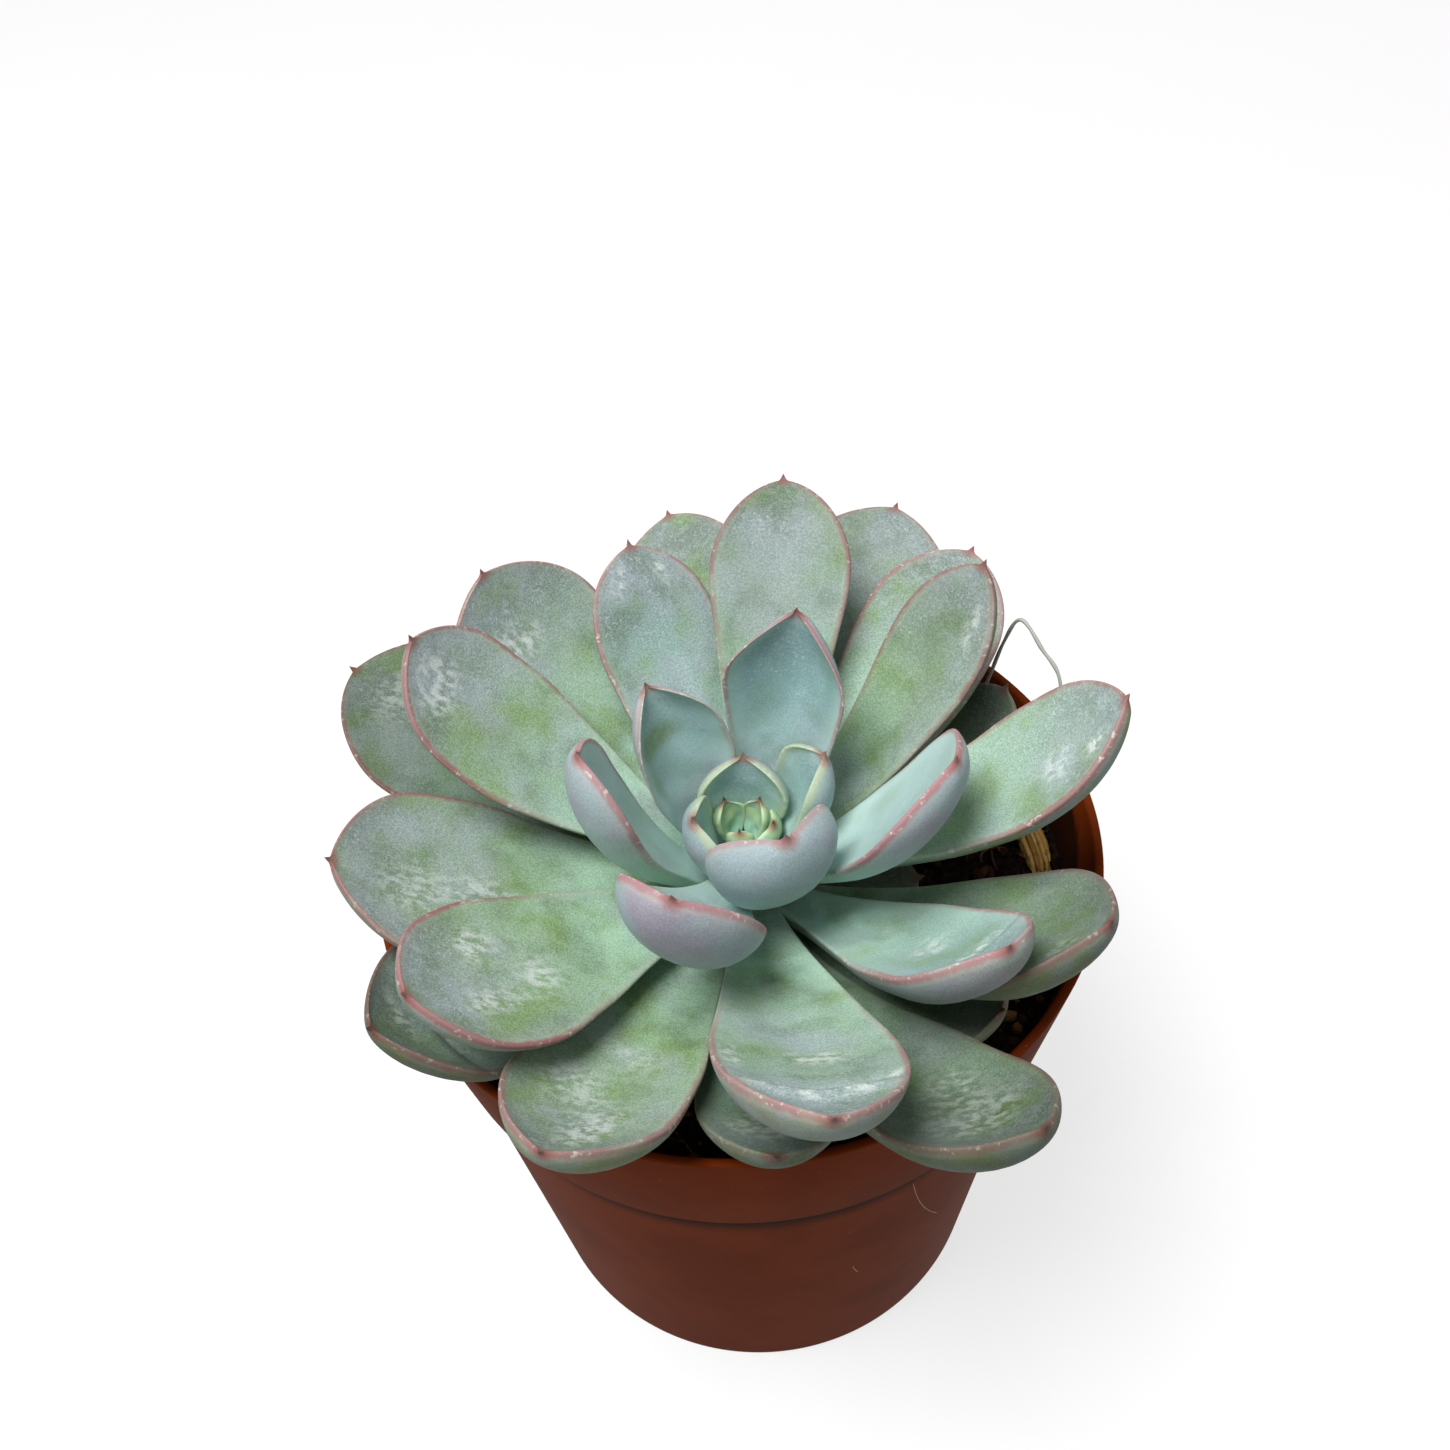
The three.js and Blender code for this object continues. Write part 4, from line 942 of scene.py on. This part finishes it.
# Painted highlight: a pale band along the edge of the upper face of young leaves.
painted_highlight_rim = add(leaf_skin, "Math", {
    0: add(leaf_skin, "MapRange", {0: from_edge, 1: 4.6, 2: 0.9, 4: 0.5}, **SMOOTH).outputs[0],
    1: add(leaf_skin, "Math", {0: young, 1: faceward}, **TIMES).outputs[0],
}, **TIMES).outputs[0]
skin = add(leaf_skin, "Mix", {0: painted_highlight_rim, 6: skin, 7: linear("#b6d2cc")}, **COLOUR).outputs[2]
green_rim = add(leaf_skin, "Math", {
    0: add(leaf_skin, "MapRange", {0: shaken, 1: 2.5, 2: 0.9}, **SMOOTH).outputs[0],
    1: add(leaf_skin, "MapRange", {0: pink, 1: 0.5, 2: 0.1, 4: 0.55}, **SMOOTH).outputs[0],
}, **TIMES).outputs[0]
green_rim = add(leaf_skin, "Math", {0: green_rim, 1: young}, **TIMES).outputs[0]
skin = add(leaf_skin, "Mix", {0: green_rim, 6: skin, 7: linear("#9bb07c")}, **COLOUR).outputs[2]
pale_rim = add(leaf_skin, "Math", {
    0: add(leaf_skin, "MapRange", {0: shaken, 1: 1.8, 2: 0.7}, **SMOOTH).outputs[0],
    1: add(leaf_skin, "MapRange", {0: pink, 1: 0.5, 2: 0.1, 4: 0.25}, **SMOOTH).outputs[0],
}, **TIMES).outputs[0]
skin = add(leaf_skin, "Mix", {
    0: add(leaf_skin, "Math", {0: pale_rim, 1: young}, **TIMES).outputs[0],
    6: skin, 7: linear("#cfd6c4"),
}, **COLOUR).outputs[2]
fewer = add(leaf_skin, "MapRange", {0: patches, 1: 0.3, 2: 0.5, 3: 0.45}, **SMOOTH).outputs[0]
line = add(leaf_skin, "Math", {
    0: add(leaf_skin, "MapRange", {0: shaken, 1: 1.65, 2: 0.85}, **SMOOTH).outputs[0],
    1: add(leaf_skin, "MapRange", {0: along, 1: 0.3, 2: 0.75}, **SMOOTH).outputs[0],
}, **TIMES).outputs[0]
line = add(leaf_skin, "Math", {
    0: add(leaf_skin, "Math", {0: line, 1: fewer}, **TIMES).outputs[0],
    1: pink,
}, **TIMES).outputs[0]
red_line = add(leaf_skin, "Mix", {
    0: young, 6: linear("#956566"), 7: linear("#a2777c"),
}, **COLOUR).outputs[2]
skin = add(leaf_skin, "Mix", {0: line, 6: skin, 7: red_line}, **COLOUR).outputs[2]
blush = add(leaf_skin, "Math", {
    0: add(leaf_skin, "MapRange", {0: shaken, 1: 3.4, 2: 0.6, 4: 0.3}, **SMOOTH).outputs[0],
    1: add(leaf_skin, "MapRange", {0: along, 1: 0.6, 2: 0.98}, **SMOOTH).outputs[0],
}, **TIMES).outputs[0]
skin = add(leaf_skin, "Mix", {
    0: add(leaf_skin, "Math", {0: blush, 1: pink}, **TIMES).outputs[0],
    6: skin, 7: linear("#a98f90"),
}, **COLOUR).outputs[2]
crust = add(leaf_skin, "Math", {
    0: add(leaf_skin, "MapRange", {0: shaken, 1: 1.35, 2: 0.85}, **SMOOTH).outputs[0],
    1: add(leaf_skin, "MapRange", {
        0: add(leaf_skin, "TexNoise", {"Vector": here, "Scale": 1 / (0.8 * MM), "Detail": 2}).outputs[0],
        1: 0.58, 2: 0.7,
    }, **SMOOTH).outputs[0],
}, **TIMES).outputs[0]
skin = add(leaf_skin, "Mix", {
    0: add(leaf_skin, "Math", {0: crust, 1: 0.6}, **TIMES).outputs[0],
    6: skin, 7: linear("#d6d3cc"),
}, **COLOUR).outputs[2]
skin = add(leaf_skin, "Mix", {
    0: add(leaf_skin, "MapRange", {0: from_tip, 1: 2.8, 2: 1.2, 4: 0.75}, **SMOOTH).outputs[0],
    6: skin, 7: linear("#945f5a"),
}, **COLOUR).outputs[2]
skin = add(leaf_skin, "Mix", {
    0: add(leaf_skin, "MapRange", {0: from_tip, 1: 1.3, 2: 0.3, 4: 0.55}, **SMOOTH).outputs[0],
    6: skin, 7: linear("#5f403a"),
}, **COLOUR).outputs[2]

# Painted shade: leaves that lie low under others are darkened and made more olive, and those with a thick
# bloom are paler.
skin = add(leaf_skin, "Mix", {
    0: add(leaf_skin, "MapRange", {0: painted_shade_and_bloom, 1: 0, 2: 1, 4: 0.8}, **SMOOTH).outputs[0],
    6: skin, 7: linear("#8a927c"),
}, **COLOUR, blend_type="MULTIPLY").outputs[2]
pale = add(leaf_skin, "Math", {
    0: add(leaf_skin, "MapRange", {0: painted_shade_and_bloom, 1: 0, 2: -1, 4: 0.6}, **SMOOTH).outputs[0],
    1: add(leaf_skin, "MapRange", {0: from_edge, 1: 0.5, 2: 1.5}, **SMOOTH).outputs[0],
}, **TIMES).outputs[0]
pale = add(leaf_skin, "Math", {0: pale, 1: faceward}, **TIMES).outputs[0]
skin = add(leaf_skin, "Mix", {0: pale, 6: skin, 7: linear("#bcd6cf")}, **COLOUR).outputs[2]
leaf_skin.node_tree.links.new(skin, shader.inputs["Base Color"])
powder = add(leaf_skin, "Math", {
    0: add(leaf_skin, "MapRange", {0: flecks, 1: 0.3, 2: 0.7, 3: 0.5, 4: 0.6}, **SMOOTH).outputs[0],
    1: add(leaf_skin, "Math", {0: white_wax_and_highlight, 1: 0.1}, **TIMES).outputs[0],
}, operation="SUBTRACT").outputs[0]
leaf_skin.node_tree.links.new(powder, shader.inputs["Roughness"])
shader.inputs["IOR"].default_value = 1.42
shader.inputs["Specular IOR Level"].default_value = 0.2
shader.inputs["Subsurface Weight"].default_value = 0.08
shader.inputs["Subsurface Radius"].default_value = (0.7, 1.0, 0.4)
shader.inputs["Subsurface Scale"].default_value = 0.002
shader.inputs["Sheen Weight"].default_value = 0.06
shader.inputs["Sheen Roughness"].default_value = 0.45
shader.inputs["Sheen Tint"].default_value = linear("#dfe9f2")
fine = add(leaf_skin, "Bump", {"Height": cells, "Strength": 0.45, "Distance": 0.1 * MM})
soft = add(leaf_skin, "Bump", {
    "Height": add(leaf_skin, "TexNoise", {
        "Vector": here, "Scale": 1 / (3.0 * MM), "Detail": 3,
    }).outputs[0],
    "Strength": 0.4, "Distance": 0.35 * MM, "Normal": fine.outputs[0],
})
leaf_skin.node_tree.links.new(soft.outputs[0], shader.inputs["Normal"])


def grown(row):
    """A leaf's own values with those that follow from its order in the spiral."""
    leaf = {"curl": 0, "sway": 0, "roll": 0, "seat": 0, "folds": FOLDS.get(row["order"], []), **row}
    leaf["turn"] = FIRST_TURN - GOLDEN_ANGLE * (leaf["order"] - 1) + leaf["stray"]
    out = min(ROOT_RADIUS, YOUNG_ROOT_RADIUS + ROOT_RADIUS_PER_LEAF * leaf["order"])
    height = FIRST_HEIGHT - HEIGHT_PER_LEAF * (leaf["order"] - 1) + leaf["seat"]
    leaf["thick"] = THICKNESS * min(1, leaf["length"] / FULL_LENGTH) ** THICKNESS_GROWTH
    leaf["root"] = root_point(leaf["turn"], out, height)
    return leaf


def root_point(turn, out, height):
    """A place on the stem: so far out from its axis, in the direction of the turn, at a height."""
    turn = np.radians(turn)
    return np.array([STEM_X + out * np.cos(turn), STEM_Y + out * np.sin(turn), height])


for row in LEAVES:
    leaf = grown(row)
    order = leaf["order"]
    points, faces, where, is_behind, side = leaf_surface(leaf)
    piece = mesh_piece(f"leaf_{order:02d}_skin", points, outward(points, faces), [leaf_skin])
    # The third value is painted shade, or below zero a thick bloom.
    blue_grey, red_edge, dark = HABITS_AND_SHADE[order]
    marks = wax_and_light_marks(order, where[:, 0], side) * (is_behind < 0.6)
    give(piece, "place", where)
    give(piece, "wear_and_light", np.stack([is_behind, marks, np.full(len(points), blue_grey)], -1))
    youth = 1 if order <= YOUNG_UP_TO else HALF_YOUNG.get(order, 0)
    give(piece, "habit_and_shade", np.broadcast_to((youth, red_edge, dark), (len(points), 3)))
    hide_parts(f"leaf_{order:02d}")
    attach(piece, "root")


# Heart: the tuft of leaves a few millimetres long at the growing tip, bright green under little
# wax, each with a red-brown point.
HEART_LEAVES = [
    dict(turn=127, rise=74, bend=4, length=8, width=5, cup=60, out=1.2, thick=1.8),
    dict(turn=-25, rise=64, bend=8, length=8.5, width=7, cup=40, out=1.4, thick=1.8),
    dict(turn=40, rise=70, bend=6, length=8, width=4.5, cup=55, out=1.2, thick=1.6),
    dict(turn=262, rise=80, bend=4, length=6, width=3.6, cup=50, out=0.6, thick=1.4),
]
HEART_HEIGHT = 102.6
HEART_CORE_RADIUS = 2.4
HEART_CORE_RAISE = 0.8
CORE_POLE_GAP = 0.08
CORE_RINGS, CORE_SIDES = 14, 28
CORE_PLACE = (0.2, 3, 9)
HEART_RINGS, HEART_ACROSS = 34, 17

tender, shader, here = new_material("tender growing tip")
place = add(tender, "Attribute", attribute_name="place").outputs["Vector"]
along, from_edge, from_tip = add(tender, "SeparateXYZ", {0: place}).outputs
skin = add(tender, "Mix", {
    0: add(tender, "MapRange", {0: along, 1: 0.2, 2: 0.85}, **SMOOTH).outputs[0],
    6: linear("#9cc5b0"), 7: linear("#9db584"),
}, **COLOUR).outputs[2]
skin = add(tender, "Mix", {
    0: add(tender, "MapRange", {
        0: add(tender, "TexNoise", {"Vector": here, "Scale": 1 / (1.2 * MM), "Detail": 3}).outputs[0],
        1: 0.42, 2: 0.62, 4: 0.6,
    }, **SMOOTH).outputs[0],
    6: skin, 7: linear("#8fb3a4"),
}, **COLOUR).outputs[2]
skin = add(tender, "Mix", {
    0: add(tender, "MapRange", {0: from_edge, 1: 0.7, 2: 0.1, 4: 0.5}, **SMOOTH).outputs[0],
    6: skin, 7: linear("#cddbbb"),
}, **COLOUR).outputs[2]
skin = add(tender, "Mix", {
    0: add(tender, "MapRange", {0: from_tip, 1: 2.2, 2: 1.1, 4: 0.8}, **SMOOTH).outputs[0],
    6: skin, 7: linear("#94614a"),
}, **COLOUR).outputs[2]
skin = add(tender, "Mix", {
    0: add(tender, "MapRange", {0: from_tip, 1: 1.1, 2: 0.4}, **SMOOTH).outputs[0],
    6: skin, 7: linear("#5e342a"),
}, **COLOUR).outputs[2]
tender.node_tree.links.new(skin, shader.inputs["Base Color"])
shader.inputs["Roughness"].default_value = 0.48
shader.inputs["IOR"].default_value = 1.42
shader.inputs["Subsurface Weight"].default_value = 0.2
shader.inputs["Subsurface Radius"].default_value = (0.7, 1.0, 0.3)
shader.inputs["Subsurface Scale"].default_value = 0.0015
soft = add(tender, "Bump", {
    "Height": add(tender, "TexNoise", {"Vector": here, "Scale": 1 / (0.5 * MM), "Detail": 2}).outputs[0],
    "Strength": 0.3, "Distance": 0.05 * MM,
})
tender.node_tree.links.new(soft.outputs[0], shader.inputs["Normal"])

tuft, places = [], []
for k, row in enumerate(HEART_LEAVES):
    leaf = {"curl": 0, "sway": 0, "roll": 0, "folds": [], "order": FIRST_HEART_ORDER + k, **row}
    leaf["root"] = root_point(leaf["turn"], leaf["out"], HEART_HEIGHT)
    points, faces, where, *_ = leaf_surface(leaf, HEART_RINGS, HEART_ACROSS)
    tuft.append((points, outward(points, faces)))
    places.append(where)

# The core is a ball, which the material reads as the lower part of a leaf, far from edge and tip.
lift = np.linspace(-np.pi / 2 + CORE_POLE_GAP, np.pi / 2 - CORE_POLE_GAP, CORE_RINGS)
core_profile = np.stack([HEART_CORE_RADIUS * np.cos(lift), HEART_CORE_RADIUS * np.sin(lift)], -1)
core, core_faces = turned(core_profile, CORE_SIDES)
core += (STEM_X, STEM_Y, HEART_HEIGHT + HEART_CORE_RAISE)
tuft.append((core, outward(core, core_faces)))
places.append(np.broadcast_to(CORE_PLACE, core.shape))
heart = mesh_piece("heart_tuft", *joined(tuft), [tender])
give(heart, "place", np.concatenate(places))
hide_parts("heart")
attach(heart, "root")


# Root fibre: one dry, wiry fibre that has sprung out of the peat at the back right and arches
# over into it again.
FIBRE_ROUTE = [(36, 26, 82), (40, 26.5, 92), (42.4, 25.4, 104.5), (44.4, 24.4, 110), (46.9, 20.2, 107.9),
               (49.2, 15.8, 104.6), (48.6, 11, 94), (45.5, 8, 82)]
FIBRE_RADIUS = 0.3
THREAD_KNOTS = 0.12


def smooth_route(route, count):
    """Points along a smooth curve through the route's points. Between two of them it is a cubic, whose
    slope at each is half the step from the point before it to the point after it."""
    route = np.array(route, float)
    padded = np.concatenate([2 * route[:1] - route[1:2], route, 2 * route[-1:] - route[-2:-1]])
    u = np.linspace(0, len(route) - 1.0001, count)
    i, t = u.astype(int), (u % 1)[:, None]
    a, b, c, d = (padded[i + k] for k in range(4))
    bend, twist = 2 * a - 5 * b + 4 * c - d, 3 * b - a - 3 * c + d
    return 0.5 * (2 * b + (c - a) * t + bend * t ** 2 + twist * t ** 3)


def thread(route, radius, sides=8, count=90):
    """A round tube carried along a smooth route, closed at both ends. Its radius swells and thins
    along it by a sine, and its rings are square to the route."""
    line = smooth_route(route, count)
    ahead = np.gradient(line, axis=0)
    ahead /= np.linalg.norm(ahead, axis=1, keepdims=True)
    side = np.cross(ahead, (0.2, 0.9, 0.1))
    side /= np.linalg.norm(side, axis=1, keepdims=True)
    up = np.cross(side, ahead)
    angle = np.arange(sides) / sides * 2 * np.pi
    knots = THREAD_KNOTS * np.sin(np.linspace(0, 60, count))
    girth = radius * (1 + knots)[:, None, None]
    ring = side[:, None] * np.cos(angle)[:, None] + up[:, None] * np.sin(angle)[:, None]
    points = (line[:, None] + girth * ring).reshape(-1, 3)
    last = (count - 1) * sides
    faces = [list(range(sides))[::-1], *grid_faces(count, sides).tolist(), list(range(last, last + sides))]
    return points, outward(points, faces)


dry_fibre, shader, here = new_material("dry root fibre")
colour = add(dry_fibre, "Mix", {
    0: add(dry_fibre, "TexNoise", {"Vector": here, "Scale": 1 / (3 * MM), "Detail": 2}).outputs[0],
    6: linear("#9aa095"), 7: linear("#b9bab0"),
}, **COLOUR).outputs[2]
dry_fibre.node_tree.links.new(colour, shader.inputs["Base Color"])
shader.inputs["Roughness"].default_value = 0.7
points, faces = thread(FIBRE_ROUTE, FIBRE_RADIUS)
fibre = mesh_piece("root_fibre", points, faces, [dry_fibre])
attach(fibre, "root")


# Hairs: two short pale plant hairs that cling by one end to the front of the pot. Each one is an arc
# that leaves the wall at its turn and height, falls by its drop, swings aside and stands off the wall.
HAIRS = [
    dict(turn=-62.5, height=64, drop=6, swing=2.5, stand_off=4),
    dict(turn=-72.5, height=38.5, drop=0.25, swing=0.5, stand_off=1),
]
WALL_SLOPE = 0.118
HAIR_RADIUS = 0.06
HAIR_SIDES, HAIR_RINGS = 5, 30

hair_skin, shader, here = new_material("pale plant hair")
colour = add(hair_skin, "Mix", {
    0: add(hair_skin, "TexNoise", {"Vector": here, "Scale": 1 / (1 * MM), "Detail": 2}).outputs[0],
    6: linear("#c3ab90"), 7: linear("#9c7f66"),
}, **COLOUR).outputs[2]
hair_skin.node_tree.links.new(colour, shader.inputs["Base Color"])
shader.inputs["Roughness"].default_value = 0.6
arcs = []
share = np.linspace(0, 1, 7)
for hair in HAIRS:
    turn = np.radians(hair["turn"] + hair["swing"] * share ** 2)
    height = hair["height"] - hair["drop"] * np.sin(share * np.pi / 2)
    radius = FOOT_RADIUS + WALL_SLOPE * height + hair["stand_off"] * share
    route = np.stack([radius * np.cos(turn), radius * np.sin(turn), height], axis=1)
    arcs.append(thread(route, HAIR_RADIUS, HAIR_SIDES, HAIR_RINGS))
hairs = mesh_piece("pot_hairs", *joined(arcs), [hair_skin])
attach(hairs, "root")


# Floor and light: a seamless sweep of white acrylic lit from behind, as on a product table, which
# leaves only faint shadows. A soft lamp hangs overhead, a little to the front and left, a weak one
# stands low on the left, and the room is evenly bright.
SWEEP_RADIUS = 3500
SWEEP_BEND = 900
SWEEP_HEIGHT = 3000
SWEEP_SIDES = 96
ROOM_LIGHT = 0.43
LAMP_AIM = (0, 0, 0.09)

acrylic, shader, here = new_material("backlit white acrylic")
cloud = add(acrylic, "TexNoise", {"Vector": here, "Scale": 1 / (60 * MM), "Detail": 2}).outputs[0]
grey = add(acrylic, "Mix", {0: cloud, 6: linear("#929292"), 7: linear("#959595")}, **COLOUR).outputs[2]
acrylic.node_tree.links.new(grey, shader.inputs["Base Color"])
shader.inputs["Roughness"].default_value = 0.9
shader.inputs["Specular IOR Level"].default_value = 0.0
shader.inputs["Emission Color"].default_value = linear("#ffffff")
shader.inputs["Emission Strength"].default_value = 0.7
bend = np.linspace(0, np.pi / 2, 12)
sweep = np.stack([SWEEP_RADIUS - SWEEP_BEND * (1 - np.sin(bend)), SWEEP_BEND * (1 - np.cos(bend))], -1)
points, faces = turned([(1, 0), *sweep.tolist(), (SWEEP_RADIUS, SWEEP_HEIGHT)], SWEEP_SIDES)
floor = mesh_piece("floor", points, faces[:-1], [acrylic])
floor.visible_diffuse = False
floor.visible_glossy = False
floor.visible_shadow = False

world = bpy.data.worlds.new("studio")
bpy.context.scene.world = world
world.use_nodes = True
world.node_tree.nodes["Background"].inputs["Color"].default_value = linear("#ffffff")
world.node_tree.nodes["Background"].inputs["Strength"].default_value = ROOM_LIGHT

# Each lamp has its place and its width in metres, and its power in watts.
LAMPS = [("overhead", (-0.24, -0.17, 0.97), 0.45, 10.5), ("left", (-0.9, -0.5, 0.35), 0.6, 0.8)]
for name, spot, size, power in LAMPS:
    data = bpy.data.lights.new(name, "AREA")
    data.shape, data.size, data.energy = "DISK", size, power
    lamp = bpy.data.objects.new(name, data)
    lamp.location = spot
    lamp.rotation_euler = (Vector(LAMP_AIM) - Vector(spot)).to_track_quat("-Z", "Y").to_euler()
    bpy.context.scene.collection.objects.link(lamp)
bpy.context.scene.view_settings.view_transform = "Standard"
